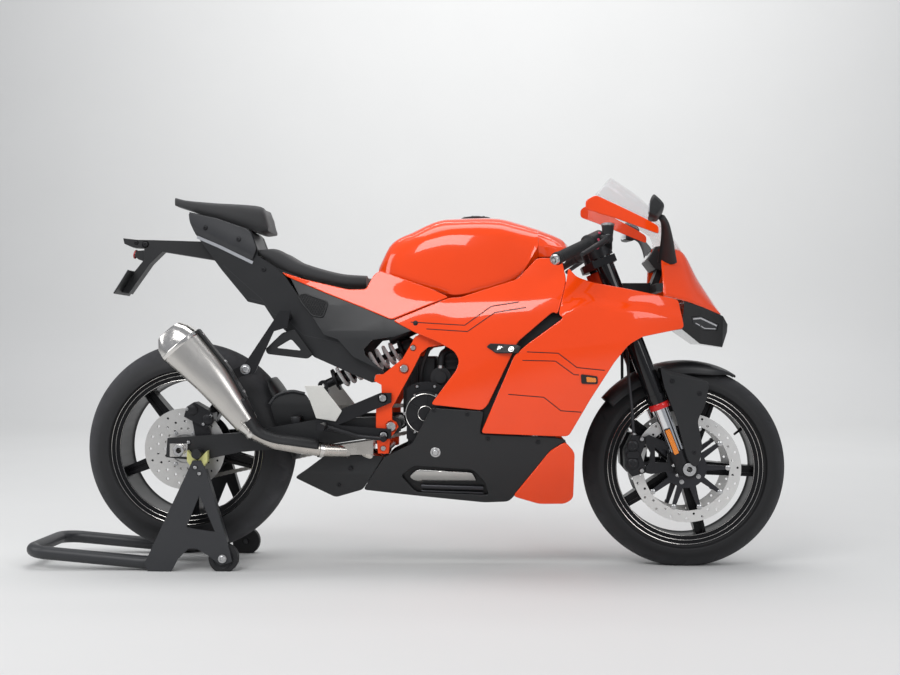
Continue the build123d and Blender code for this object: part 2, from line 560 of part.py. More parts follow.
def link_outline(reach, waist):
    """Outer chain outline: full reach at the pins, less at the waists."""
    dx, dz = DRIVE_X - REAR_AXLE_X, DRIVE_Z - REAR_AXLE_Z
    span, lean = math.hypot(dx, dz), math.atan2(dz, dx)
    spread = math.acos((SPROCKET_PITCH_R - DRIVE_PITCH_R) / span)
    run = math.sqrt(span ** 2 - (SPROCKET_PITCH_R - DRIVE_PITCH_R) ** 2)
    small_arc = 2 * spread * DRIVE_PITCH_R
    big_arc = (2 * math.pi - 2 * spread) * SPROCKET_PITCH_R
    # stretch: length, centre, radius, normal at its start, turn over its length
    rear, drive = (REAR_AXLE_X, REAR_AXLE_Z), (DRIVE_X, DRIVE_Z)
    stretches = (
        (run, rear, SPROCKET_PITCH_R, lean + spread, 0.0),
        (small_arc, drive, DRIVE_PITCH_R, lean + spread, -2 * spread),
        (run, drive, DRIVE_PITCH_R, lean - spread, 0.0),
        (big_arc, rear, SPROCKET_PITCH_R, lean - spread, 2 * spread - 2 * math.pi),
    )
    whole = 2 * run + small_arc + big_arc
    points = []
    for k in range(2 * LINKS):
        left = whole * k / (2 * LINKS)
        stretch = 0
        while left > stretches[stretch][0]:
            left -= stretches[stretch][0]
            stretch += 1
        length, centre, radius, start, turn = stretches[stretch]
        way = start + turn * left / length
        out = radius + (reach if k % 2 else reach - waist)
        slide = left if turn == 0 else 0.0
        points.append((
            centre[0] + out * math.cos(way) + slide * math.sin(way),
            centre[1] + out * math.sin(way) - slide * math.cos(way)))
    return points


chain_y0, chain_y1 = CHAIN_Y - CHAIN_W / 2, CHAIN_Y + CHAIN_W / 2
chain = prism(link_outline(CHAIN_H / 2, LINK_WAIST), chain_y0, chain_y1)
chain = chain - belt(-CHAIN_H / 2, chain_y0 - 1, chain_y1 + 1)
save("chain", [chain.solids()[0]])

# Engine: crankcase, leaning cylinders and head, covers
CASE_HALF = 126.0
CHAIN_BAY_Y = CHAIN_Y - CHAIN_W / 2 - 6
case_outline = [(8, 330), (8, 490), (44, 540), (240, 548), (322, 470), (330, 350), (250, 318), (40, 318)]
case_front = [(110, 540), (240, 548), (322, 470), (330, 350), (250, 318), (110, 318)]
head_outline = [(70, 535), (230, 545), (352, 610), (318, 690), (120, 668)]
engine = prism(case_outline, -CASE_HALF, CHAIN_BAY_Y) + prism(case_front, CHAIN_BAY_Y - 1, CASE_HALF)
engine = engine + prism(head_outline, -100, 100)
engine = engine + disc(DRIVE_X, DRIVE_Z, DRIVE_PITCH_R - CHAIN_H / 2 - 0.8, CHAIN_BAY_Y - 1, CHAIN_Y + 3)
engine = engine + prism([(0, 580), (30, 606), (110, 600), (100, 560), (40, 540), (30, 560)], -90, 90)
engine = engine + disc(14, 591, 10, -PLATE_INNER_Y, PLATE_INNER_Y)
# cylinder ribs, coolant pump and its hose on the open side
RIB_PITCH = 20.0
for k in range(6):
    rib_z = 548 + k * RIB_PITCH
    rib_x = 78 + 0.376 * (rib_z - 535)
    rib = prism([(rib_x, rib_z), (250, rib_z + 8), (250, rib_z + 15), (rib_x, rib_z + 7)], -109, -99)
    engine = engine + rib + rib.mirror(Plane.XZ)
PUMP_X, PUMP_Z = 104.0, 566.0
engine = engine + disc(PUMP_X, PUMP_Z, 30, -124, -99) + disc(PUMP_X, PUMP_Z, 17, -132, -123)
engine = engine + tube([(PUMP_X, -114, 588), (PUMP_X + 3, -122, 634), (150, -92, 664)], 10.0, 18)
save("engine", engine.solids())
clutch = disc(62, 462, 92, -CASE_HALF - 22, -CASE_HALF)
clutch = clutch + disc(62, 462, 64, -CASE_HALF - 42, -CASE_HALF - 21)
shaft_cover = [(120, 380), (250, 350), (280, 430), (220, 500), (120, 520)]
clutch = clutch + prism(shaft_cover, -CASE_HALF - 20, -CASE_HALF)
clutch = clutch - ring(62, 462, 57, 22, -CASE_HALF - 43, -CASE_HALF - 37)
RIBS = 6
for k in range(RIBS):
    turn = 2 * math.pi * (k + 0.5) / RIBS
    c, s = math.cos(turn), math.sin(turn)
    bar_outline = [(62 + r * c - a * s, 462 + r * s + a * c) for r, a in ((18, -4), (60, -3), (60, 3), (18, 4))]
    clutch = clutch + prism(bar_outline, -CASE_HALF - 41, -CASE_HALF - 36)
clutch = clutch - prism([(-100, 300), (6, 300), (6, 560), (-100, 560)], -300, 0)
generator = disc(215, 432, 84, CASE_HALF, CASE_HALF + 30)
generator = generator - ring(215, 432, 70, 30, CASE_HALF + 26, CASE_HALF + 31)
sprocket_cover = prism([(0, 370), (0, 500), (70, 520), (136, 500), (136, 372)], CHAIN_Y + 14,
    CASE_HALF + 12)
sprocket_cover = sprocket_cover - prism(case_front, 0, CASE_HALF)
save("engine_covers", [clutch.solids()[0], generator + sprocket_cover])

# Radiator between the fairings
RADIATOR_HALF = 160.0
radiator = prism([(408, 400), (448, 396), (502, 640), (462, 648)], -RADIATOR_HALF, RADIATOR_HALF)
radiator = radiator + prism([(352, 612), (470, 604), (470, 620), (345.2, 628)], -24, 24)
FIN_PITCH = 12.0
for k in range(-12, 13):
    fin = prism([(449, 406), (455, 405), (505, 629), (498, 631)], k * FIN_PITCH - 1.2, k * FIN_PITCH + 1.2)
    radiator = radiator + fin
save("radiator", radiator.solids())

# Bodywork skin on the right: half widths at each height
SKIN_Z = (190.0, 300.0, 400.0, 480.0, 600.0, 700.0, 780.0, 860.0, 950.0)
SKIN = (
    (-400.0, (40, 80, 108, 116, 116, 114, 112, 104, 96)),
    (-290.0, (70, 110, 136, 150, 150, 138, 128, 112, 100)),
    (-60.0, (96, 146, 172, 180, 180, 172, 150, 122, 100)),
    (80.0, (106, 158, 186, 194, 196, 192, 176, 134, 110)),
    (160.0, (110, 164, 192, 202, 206, 203, 184, 142, 116)),
    (330.0, (112, 170, 202, 217, 226, 226, 212, 170, 140)),
    (450.0, (102, 166, 204, 222, 235, 237, 226, 190, 140)),
    (560.0, (86, 150, 196, 218, 235, 239, 230, 200, 150)),
    (660.0, (70, 130, 180, 206, 228, 234, 226, 196, 150)),
    (760.0, (50, 100, 150, 176, 198, 206, 198, 166, 130)),
    (840.0, (40, 80, 120, 140, 158, 166, 158, 132, 100)),
)
body = skin(SKIN, SKIN_Z)
BELLY_CLEAR = 10.0
core_sections = []
for x, widths in SKIN:
    right = [(x, PANEL_T + BELLY_CLEAR - w, z) for w, z in zip(widths[:3], SKIN_Z[:3])]
    left = [(x, w - PANEL_T - BELLY_CLEAR, z) for w, z in zip(widths[:3], SKIN_Z[:3])]
    core_sections.append(right + left[::-1])
belly_core = loft_through(core_sections)

# Exhaust: two header pipes, collector box, link pipe
PIPE_R = 21.0
header_path = [(336, -48, 610), (378, -48, 560), (362, -48, 320), (300, -48, 272), (200, -48, 266)]
header = tube(header_path, PIPE_R, 34)
header_left = header.mirror(Plane.XZ)
header = header - prism(head_outline, -200, 200)
header_left = header_left - prism(head_outline, -200, 200)
collector_outline = [(-40, 236), (236, 230), (236, 306), (30, 312), (-40, 300)]
collector = prism(collector_outline, -200, 90) & belly_core
SILENCER_Y = -218.0
SILENCER_FROM = Vector(-445, SILENCER_Y, 430)
SILENCER_TO = Vector(-668, SILENCER_Y, 690)
SIL_AXIS = (SILENCER_TO - SILENCER_FROM).normalized()
LINK_R = 19.0
LINK_PATH = [
    (-165, -138, 352), (-240, -180, 358), (-300, -200, 368), (-370, -214, 380),
    SILENCER_FROM - SIL_AXIS * 30, SILENCER_FROM + SIL_AXIS * 24]
link = tube(LINK_PATH, LINK_R, 30)
valve_box = prism([(-215, 340), (-215, 366), (-90, 385), (-90, 344)], -160, -92)
feed = tube([(-120, -120, 354), (-60, -108, 304), (20, -70, 274)], PIPE_R, 30)
exhaust = fused([collector, header.solids()[0], header_left.solids()[0], feed, valve_box, link])
save("exhaust", exhaust.solids())

# Silencer: sections along a leaning axis
# distance along, upper reach, lower reach, half width
SILENCER = (
    (0.0, 31.0, 31.0, 31.0),
    (60.0, 44.0, 34.0, 40.0),
    (160.0, 62.0, 40.0, 52.0),
    (300.0, 66.0, 60.0, 54.0),
    (326.0, 60.0, 54.0, 49.0),
    (352.0, 44.0, 34.0, 34.0),
)
SIL_UP = Vector(SIL_AXIS.Z, 0, -SIL_AXIS.X)


def silencer_section(row, grow=0.0):
    along, above, below, half = row
    above, below, half = above + grow, below + grow, half + grow
    base = SILENCER_FROM + SIL_AXIS * along
    corners = [
        (above, -0.45), (above * 0.62, -1), (-below * 0.62, -1), (-below, -0.45),
        (-below, 0.45), (-below * 0.62, 1), (above * 0.62, 1), (above, 0.45)]
    section = [(base + SIL_UP * up + Vector(0, across * half, 0)) for up, across in corners]
    return rounded(section, range(8))


silencer = loft_through([silencer_section(row) for row in SILENCER])
bore_from = SILENCER_FROM + SIL_AXIS * 250
silencer = silencer - rod(bore_from, (SILENCER_FROM + SIL_AXIS * 400), 24)
silencer = silencer - rod((SILENCER_FROM - SIL_AXIS * 40), (SILENCER_FROM + SIL_AXIS * 30),
    LINK_R + FIT_GAP)
save("silencer", silencer.solids())
shield_rows = [(60.0, 44.0), (160.0, 62.0), (300.0, 66.0)]
shield_sections = []
for along, above in shield_rows:
    base = SILENCER_FROM + SIL_AXIS * along
    low, high = above + SEAM, above + 8.0
    shield_sections.append([
        base + SIL_UP * low + Vector(0, -16, 0), base + SIL_UP * high + Vector(0, -16, 0),
        base + SIL_UP * high + Vector(0, 16, 0), base + SIL_UP * low + Vector(0, 16, 0)])
save("silencer_shield", [loft_through(shield_sections)])

# Body panels
# how far the front layer stands proud at each height
LAYER = (14.0, 14.0, 14.0, 14.0, 14.0, 12.0, 4.0, 0.0, 0.0)
outer_layer = skin([(x, [w + d for w, d in zip(widths, LAYER)]) for x, widths in SKIN if x > 100], SKIN_Z)
lower_layer = skin([(x, [w + PANEL_T + SEAM for w in widths]) for x, widths in SKIN], SKIN_Z)

# Side fairing: rear layer, then the front layer standing proud of it over the vent slot
rear_fairing_outline = [
    (-34, 731), (34, 695), (94, 671), (146, 642), (160, 617), (154, 591), (78, 489), (226, 473), (242, 489),
    (309, 630), (326, 668), (426, 754), (439.6, 746.2), (465.6, 846), (454, 912), (384, 912),
    (326, 850), (162, 798), (132, 797.5)]
front_fairing_outline = [
    (222, 408), (438, 400), (471, 400), (530, 504), (598, 611), (637, 659), (676, 682), (800, 707),
    (786, 790), (752, 797), (536, 839), (494, 856), (472, 884), (466.4, 846), (440.4, 745.8),
    (455, 736), (354, 662), (317, 630)]
STANDOFF_R = 8.0
rear_fairing = cut_to(body, rear_fairing_outline) + disc(300, 724, STANDOFF_R, -216, -149)
save("rear_fairings", both_sides(rear_fairing))
save("front_fairings", both_sides(cut_to(outer_layer, front_fairing_outline)))
side_panel_outline = [
    (-368, 877), (-300, 855), (-168, 824), (-116, 824), (-94, 866), (-76, 880), (76, 825), (129, 799),
    (-37, 733), (-115, 766), (-232, 812), (-355, 864)]
save("side_panels", both_sides(cut_to(body, side_panel_outline)))
infill_outline = [
    (-346, 868), (-232, 819), (-115, 773), (-38, 739), (30, 704), (-30, 684), (-93, 675), (-118, 647),
    (-113, 631), (-62, 586), (-148, 626), (-195, 677), (-236, 690), (-313, 806)]
inner_layer = skin([(x, [w - PANEL_T - SEAM for w in widths]) for x, widths in SKIN], SKIN_Z)
infill = cut_to(inner_layer, infill_outline)
infill = infill + disc(-215, 702, 6, -143, -129.4)
grille_outline = [(-316, 805), (-298, 812), (-226, 786), (-240, 742), (-272, 746), (-304, 784)]
for k in range(5):
    slot_z = 808 - 14 * k
    slat = [(-330, slot_z + 8), (-210, slot_z - 35), (-210, slot_z - 42), (-330, slot_z + 1)]
    infill = infill - (prism(slat, -400, 0) & prism(grille_outline, -400, 0))

belly_outline = [
    (-125, 235), (32, 219), (231, 200), (302, 203), (384, 292), (468, 388), (432, 397), (219, 405),
    (231, 471), (80, 480), (24, 376), (-58, 337)]
belly_slot = [(-11, 280), (29, 311), (199, 300), (231, 266), (245, 223), (32, 230)]
belly_side = cut_to(body, belly_outline) - prism(belly_slot, -400, 0)
keel = prism([(-125, 236), (32, 220), (231, 201), (302, 204), (302, 208), (231, 205), (32, 224),
    (-125, 240)], -112, -0.4)
keel = keel & prism([(-200, 100), (500, 100), (500, 300), (-200, 300)], -108, 0)
belly = (belly_side + keel + disc(300, 372, STANDOFF_R, -189, -CASE_HALF - 0.5)).solids()[0]
pan_back = REAR_TYRE_FRONT_X + 10
tail_pan = cut_to(body, [
    (pan_back + 43, 299), (pan_back + 98, 340), (-58.6, 337.4), (-125.6, 235.4), (pan_back + 122, 210),
    (pan_back, 268)])
pipe_room = tube(LINK_PATH, LINK_R + 6, 36)
belly_pair = both_sides(belly)
tail_pair = both_sides(tail_pan)
belly_pair[0] = max((belly - pipe_room).solids(), key=lambda piece: piece.volume)
tail_pair[0] = max((tail_pan - pipe_room).solids(), key=lambda piece: piece.volume)
save("belly_pans", belly_pair + tail_pair)
deflector = cut_to(
    lower_layer, [(419, 357), (462, 384), (490, 352), (490, 212), (467, 196), (391, 196), (314, 220)])
save("deflectors", both_sides(deflector))

# Nose, beak with lamp, screen and its strips
# nose sections: x, low z, high z, half width low, half width high
NOSE = (
    (742.0, 800.0, 936.0, 200.0, 134.0),
    (812.0, 786.0, 932.0, 162.0, 88.0),
    (862.0, 772.0, 852.0, 122.0, 64.0),
    (928.0, 750.0, 758.0, 56.0, 42.0),
)


def nose_body(shrink, back):
    return loft_through([[
        (x - back, -wl + shrink, zl - (1 if shrink else 0)),
        (x - back, wl - shrink, zl - (1 if shrink else 0)),
        (x - back, wh - shrink * 0.6, zh - shrink), (x - back, -wh + shrink * 0.6, zh - shrink)]
        for x, zl, zh, wl, wh in NOSE])


nose = nose_body(0, 0) - nose_body(5, 6)
opening = Face(polygon([(732, -132, 800), (800, -91, 800), (800, 91, 800), (732, 132, 800)]))
nose = nose - Solid.extrude(opening, Vector(0, 0, 200))
save("nose_cowl", [max(nose.solids(), key=lambda piece: piece.volume)])
# beak sections: x, low z, high z, half width
BEAK = ((806.0, 706.0, 786.4, 158.0), (862.0, 664.0, 771.3, 120.0), (936.0, 654.0, 746.0, 52.0),
    (954.0, 700.0, 722.0, 26.0))


def beak_body(shrink):
    sections = []
    for x, zl, zh, half in BEAK:
        w = half - shrink
        sections.append([(x, -w * 0.7, zl), (x, w * 0.7, zl), (x, w, zh), (x, -w, zh)])
    return loft_through(sections)


LAMP_DEPTH = 7.0
lamp_outline = [(830, 742), (858, 745), (922, 722), (917, 703), (872, 702), (838, 722)]
lens_outline = [(831.5, 741), (858, 744), (920.6, 721.4), (916, 704), (872, 703), (839, 722.5)]
beak = beak_body(0) - (prism(lamp_outline, -200, 200) - beak_body(LAMP_DEPTH))
lenses = (prism(lens_outline, -200, 200) & beak_body(1.5)) - beak_body(LAMP_DEPTH - 1)
save("headlamp_lenses", lenses.solids())
save("headlamp", [beak])
# screen sections: edge x, edge z, half width, crown x, crown z
SCREEN = (
    (556.0, 1100.0, 112.0, 610.0, 1166.0),
    (650.0, 1052.0, 136.0, 716.0, 1080.0),
    (742.0, 1002.0, 142.0, 810.0, 942.0),
    (752.0, 936.1, 126.0, 816.0, 934.4),
)


def screen_section(row, sink):
    edge_x, edge_z, half, crown_x, crown_z = row
    height = math.hypot(crown_x - edge_x, crown_z - edge_z)
    share = (height - sink) / height
    points = []
    for k in range(9):
        turn = math.pi * k / 8
        rise = math.sin(turn) * share
        points.append((
            edge_x + (crown_x - edge_x) * rise, (sink - half) * math.cos(turn),
            edge_z + (crown_z - edge_z) * rise))
    return points


screen = loft_through([screen_section(row, 0) + screen_section(row, 4)[::-1] for row in SCREEN])
save("windscreen", [screen])
strip_outline = [(527, 1083), (556, 1099), (706, 1021), (735, 1003), (735, 980), (657, 1011), (608, 1030),
    (527, 1058)]
strip_rows = [(500.0, (110, 107)), (560.0, (116, 114)), (650.0, (138, 140)), (760.0, (145, 155))]
strip = cut_to(skin(strip_rows, (1110.0, 930.0)), strip_outline)
save("screen_strips", both_sides(strip))

# Tank, cap and front cover
# x, floor z, waist z, shoulder z, top z, half widths at floor, waist, shoulder, top
TANK = (
    (-84.0, 852, 874, 886, 896, 54, 62, 54, 38),
    (-48.0, 815, 868, 930, 960, 76, 96, 80, 50),
    (20.0, TANK_FLOOR_Z, 849, 956, 996, 96, 122, 106, 60),
    (93.0, TANK_FLOOR_Z, 824, 976, 1027, 112, 138, 124, 68),
    (150.0, TANK_FLOOR_Z, 806, 986, 1033, 126, 150, 134, 72),
    (272.0, TANK_FLOOR_Z, 838, 986, 1033, 134, 158, 138, 74),
    (340.0, 842, 872, 974, 1016, 134, 152, 132, 74),
    (388.0, 916, 948, 976, 1002, 126, 140, 122, 72),
)


def eight_sided(x, heights, halves):
    right = [(x, -w, z) for z, w in zip(heights, halves)]
    left = [(x, w, z) for z, w in zip(heights, halves)]
    count = len(right)
    return rounded(right + left[::-1], range(count - 2, count + 2))


tank = loft_through([eight_sided(row[0], row[1:5], row[5:9]) for row in TANK])
CAP_X, CAP_R = 206.0, 46.0
CAP_SEAT_Z = TANK[4][4] - 4
tank = tank - Solid.make_cylinder(CAP_R + FIT_GAP, 30,
    Plane(origin=(CAP_X, 0, CAP_SEAT_Z), z_dir=(0, 0, 1)))
save("fuel_tank", [tank])
save("fuel_cap", [Solid.make_cylinder(CAP_R, 8, Plane(origin=(CAP_X, 0, CAP_SEAT_Z), z_dir=(0, 0, 1)))])
COVER = (
    (388.0 + SEAM, 917, 948, 976, 1002, 126, 140, 122, 72),
    (458.0, 917, 944, 958, 974, 140, 126, 102, 66),
    (478.0, 917, 934, 944, 956, 128, 114, 92, 58),
)
save("tank_cover", [loft_through([eight_sided(row[0], row[1:5], row[5:9]) for row in COVER])])

# Seats: x, low z, high z, half width
RIDER_SEAT = (
    (-437.0, 927, 946, 86), (-384.0, 891, 946, 96), (-311.0, 862, 907, 106), (-198.0, 834, 874, 104),
    (-118.0, 828, 867, 92))


def cushion(rows):
    return loft_through([eight_sided(x, (z0, z1 - 12, z1), (w, w, w - 18)) for x, z0, z1, w in rows])


save("rider_seat", [cushion(RIDER_SEAT)])
PILLION = (
    (-706.0, 1084, 1108, 30), (-672.0, 1073, 1099, 44), (-597.0, 1048, 1090, 64), (-566.0, 1040.8, 1087, 72),
    (-522.0, 1025.4, 1084, 80), (-470.0, 1006.8, 1080, 84), (-443.0, 998, 1076, 84), (-427.0, 999, 1066, 83),
    (-413.0, 1001, 1014, 80))
save("pillion_seat", [cushion(PILLION)])

# Tail unit: side plates, under-tray, deck
TAIL_T = 12.0
TAIL = (
    (-690.0, (54, 54)), (-560.0, (84, 84)), (-440.0, (100, 104)), (-300.0, (112, 122)),
    (-180.0, (122, 138)), (0.0, (134, 146)))
TAIL_Z = (1100.0, 500.0)
tail_outline = [
    (-654, 1060), (-566, 1040), (-470, 1006), (-458, 994), (-440, 946), (-440, 926), (-384, 888), (-356, 863),
    (-315, 804), (-242, 701), (-195, 677), (-148, 632), (-66, 590), (-58, 572), (-66, 554), (-96, 551),
    (-267, 625), (-388, 732), (-418, 777), (-469, 789), (-550, 884), (-635, 995)]
tail_side = cut_to(skin(TAIL, TAIL_Z, TAIL_T), tail_outline)
tail_side = tail_side + disc(-72, 563, 9, -PLATE_INNER_Y, -136)
tail_core = loft_through([[
    (x, 11 - w[0], 1100), (x, w[0] - 11, 1100), (x, w[1] - 11, 500), (x, 11 - w[1], 500)] for x, w in TAIL])
tray_outline = [
    (-636, 994), (-550, 884), (-469, 789), (-418, 777), (-388, 732), (-376, 740), (-410, 787),
    (-463, 799), (-542, 890), (-630, 1002)]
deck_outline = [
    (-650, 1058), (-566, 1039), (-470, 1005), (-459, 993.4), (-459, 984), (-470, 996), (-566, 1030),
    (-646, 1049)]
bulkhead_outline = [
    (-459, 993.4), (-441, 945), (-441, 927), (-420, 912), (-420, 904), (-447, 922), (-447, 944), (-465, 990)]
tail_parts = both_sides(tail_side)
tail_parts.append(tail_core & prism(tray_outline, -200, 200))
tail_parts.append(tail_core & prism(deck_outline, -200, 200))
tail_parts.append(tail_core & prism(bulkhead_outline, -200, 200))
rest_outline = [(-420, 914.6), (-384, 890.3), (-311, 861.3), (-311, 852), (-384, 880), (-420, 904)]
seat_rest = prism(rest_outline, -200, 200)
tail_parts.append(tail_core & seat_rest)
save("tail_unit", fused(tail_parts).solids() + both_sides(infill.solids()[0]))
save("tail_light", [prism([(-648, 1048), (-636, 1046), (-620, 1006), (-632, 1002.6)], -46, 46)])
holder_outline = [
    (-577, 917), (-602, 949.6), (-613, 964), (-622, 975), (-769, 980), (-822, 981), (-867, 986),
    (-863, 969), (-838, 958), (-802, 956), (-802, 921), (-832, 884), (-871, 821), (-849, 817),
    (-784, 908), (-746, 945)]
holder = prism(holder_outline, -22, 22)
plate_tilt = [(-832.5, 884.3), (-876, 814), (-878.6, 815.6), (-835.1, 885.9)]
save("plate_holder", [holder, prism(plate_tilt, -78, 78)])

# Shock: body and spring coils as one turned outline
shock_top = Vector(SHOCK_TOP_X, SHOCK_Y, SHOCK_TOP_Z)
shock_low = Vector(SHOCK_LOW_X, SHOCK_Y, SHOCK_LOW_Z)
shock_way = (shock_low - shock_top).normalized()
shock_length = (shock_low - shock_top).length
COILS = 8
shock_side = Vector(-shock_way.Z, 0, shock_way.X)
shock_profile = [(0, 12), (20, 12), (20, 26)]
for k in range(COILS):
    middle = 36 + k * (shock_length - 84) / (COILS - 1)
    shock_profile += [(26, middle - 7), (34, middle - 3.5), (34, middle + 3.5), (26, middle + 7)]
shock_profile += [(20, shock_length - 36), (20, shock_length - 12), (12, shock_length - 10)]
shock_profile += [(12, shock_length + 12), (0, shock_length + 12)]
shock_face = Face(polygon([shock_top + shock_way * along + shock_side * r for r, along in shock_profile]))
shock = revolve(shock_face, axis=Axis(shock_top, shock_way), revolution_arc=360).solids()[0]
shock = shock - disc(SHOCK_TOP_X, SHOCK_TOP_Z, 12 + FIT_GAP, -200, 200)
shock = shock - prism([(x, z + 0.6) for x, z in shock_lug], -200, 200)
save("rear_shock", [max(shock.solids(), key=lambda piece: piece.volume)])

# Hugger ahead of the rear tyre
HUGGER_CLEARANCE = 9.0
HUGGER_R = REAR_TYRE_R + HUGGER_CLEARANCE
HUGGER_HALF = 84.0
FLAP_LOW = CROSS_TOP + 10
FLAP_HIGH = FLAP_LOW + 94
FLAP_REACH = 69.0
hugger_profile = [
    (HUGGER_R - 26, -HUGGER_HALF), (HUGGER_R - 6, -56), (HUGGER_R, -20), (HUGGER_R, 20), (HUGGER_R - 6, 56),
    (HUGGER_R - 26, HUGGER_HALF), (HUGGER_R - 22, HUGGER_HALF), (HUGGER_R - 2, 58), (HUGGER_R + 4, 20),
    (HUGGER_R + 4, -20), (HUGGER_R - 2, -58), (HUGGER_R - 22, -HUGGER_HALF)]
hugger_face = Face(polygon([(REAR_AXLE_X + r, y, REAR_AXLE_Z) for r, y in hugger_profile]))
hugger_face = hugger_face.rotate(Axis((REAR_AXLE_X, 0, REAR_AXLE_Z), (0, 1, 0)), -6)
hugger = revolve(
    hugger_face, axis=Axis((REAR_AXLE_X, 0, REAR_AXLE_Z), (0, -1, 0)), revolution_arc=46).solids()[0]
hugger_front = REAR_AXLE_X + HUGGER_R
flap_front = hugger_front + FLAP_REACH
flap_outline = [
    (REAR_AXLE_X, FLAP_LOW), (flap_front, FLAP_LOW), (flap_front, FLAP_HIGH), (REAR_AXLE_X, FLAP_HIGH)]
flap = prism(flap_outline, -HUGGER_HALF, 4 - HUGGER_HALF)
flap = flap - disc(REAR_AXLE_X, REAR_AXLE_Z, HUGGER_R - 24, -200, 200)


def arm_top(x):
    """Height of the swingarm's upper edge at x."""
    for (x1, z1), (x0, z0) in zip(beam_top, beam_top[1:]):
        if x >= x0:
            return z0 + (z1 - z0) * (x - x0) / (x1 - x0)
    return z0


tab_x0 = hugger_front + 1
tab_x1 = tab_x0 + 20
tab_top = FLAP_LOW + 6
TAB_SEAT = 0.75
foot_tab = prism([
    (tab_x0, arm_top(tab_x0) + TAB_SEAT), (tab_x1, arm_top(tab_x1) + TAB_SEAT),
    (tab_x1, tab_top), (tab_x0, tab_top)], 6 - ARM_INNER_Y - ARM_T, 3 - HUGGER_HALF)
save("hugger", fused([hugger, flap, foot_tab]).solids())

# Foot brackets, heel plates, pegs with pedals
bracket_outline = [
    (-36, 522), (-68, 522), (-254, 444), (-254, 414), (-68, 390), (-36, 390), (-36, 418), (-190, 429),
    (-36, 494)]
BRACKET_T = 14.0
bracket = prism(bracket_outline, -PLATE_OUTER_Y - BRACKET_T, -PLATE_OUTER_Y)
heel_outline = [(-286, 543), (-235, 543), (-178, 470), (-196, 440), (-252, 449)]
HEEL_Y = -PLATE_OUTER_Y - BRACKET_T
save("heel_plates", both_sides(prism(heel_outline, HEEL_Y - 5, HEEL_Y)))
PEG_X, PEG_Z = -228.0, 427.0
peg = disc(PEG_X, PEG_Z, 11, HEEL_Y - 84, HEEL_Y)
pedal = tube([(PEG_X, HEEL_Y - 12, PEG_Z), (-130, HEEL_Y - 14, 398), (-58, HEEL_Y - 22, 392)], 6.0, 20)
toe = disc(-54, 392, 8, HEEL_Y - 52, HEEL_Y - 16)
save("foot_pegs", both_sides(fused([peg, pedal, toe]) - prism(heel_outline, HEEL_Y - 5.5, HEEL_Y)))
hanger_outline = [
    (-380, 700), (-340, 712), (-332, 760), (-362, 760), (-466, 604), (-534, 572), (-526, 552), (-456, 574),
    (-436, 578)]
hanger = prism(hanger_outline, -162, -156)
hanger = hanger + disc(-346, 744, 12, -157, -114.9)
hanger = hanger + disc(-462, 590, 11, -167, -161) + disc(-522, 564, 9, -170, -161)
hanger = hanger - loft_through([silencer_section(row, 0.5) for row in SILENCER])
save("foot_brackets", both_sides(bracket) + [max(hanger.solids(), key=lambda piece: piece.volume)])

# Dash, its carrier and the mirrors
carrier_arm = block(600, 726, -26, 26, 812, 846) - rod(
    fork_at(HEAD[0] - 30, 0, STEER_AHEAD), fork_at(HEAD[1] + 30, 0, STEER_AHEAD), STEM_R + 14 + FIT_GAP)
cross_bar = block(722, 741.4, -190, 190, 812, 836)
dash_post = prism([(722, 828), (744, 828), (762, 884), (744, 884)], -40, 40)
stay = max((carrier_arm + cross_bar + dash_post).solids(), key=lambda piece: piece.volume)
dash = prism([(712, 911), (733, 883), (771, 883), (776, 900), (752, 952), (734, 950)], -82, 82)
save("dash", [stay + dash])
mirror_in = [(686, 1003), (690, 1050), (700, 1070), (720, 1052), (731, 1038), (727, 1023), (711, 1000)]
mirror_out = [(690, 1012), (693, 1046), (701, 1060), (716, 1046), (724, 1036), (721, 1024), (709, 1008)]
# mirror head sections: y, shift in x, shift in z, outline
MIRROR = ((-282.0, 0.0, 0.0, mirror_in), (-345.0, -6.0, 2.0, mirror_in), (-388.0, -12.0, 0.0, mirror_out))
head_shape = loft_through([
    rounded([(x + dx, y, z + dz) for x, z in shape], range(7)) for y, dx, dz, shape in MIRROR])
stalk = tube([(716, -292, 1014), (742, -262, 990), (756, -140, 896)], 8.0, 24)
mirror_right = (head_shape + stalk) - nose_body(-0.5, 0)
save("mirrors", both_sides(max(mirror_right.solids(), key=lambda piece: piece.volume)))

# Side stand, folded up along the left
leg_drop = math.radians(8)
leg_way = Vector(-math.cos(leg_drop), 0, 0) + Vector(0, HINGE.Z, -HINGE.Y) * math.sin(leg_drop)
leg_root = SIDE_STAND + HINGE * 11.5
LEG_LENGTH = 262.0
leg_end = leg_root + leg_way * LEG_LENGTH
stand_leg = rod(SIDE_STAND + HINGE * 0.8, SIDE_STAND + HINGE * 21, 15) + cone(leg_root, leg_end, 10, 8)
stand_leg = stand_leg + rod(SIDE_STAND - HINGE * 15, SIDE_STAND + HINGE * 2, HINGE_PIN_R)
stand_leg = stand_leg + cone(leg_end - leg_way * 14, leg_end + leg_way * 2, 14, 17)
save("side_stand", stand_leg.solids())

# Paddock stand
def from_spool(outline):
    return [(SPOOL_X + dx, z) for dx, z in outline]


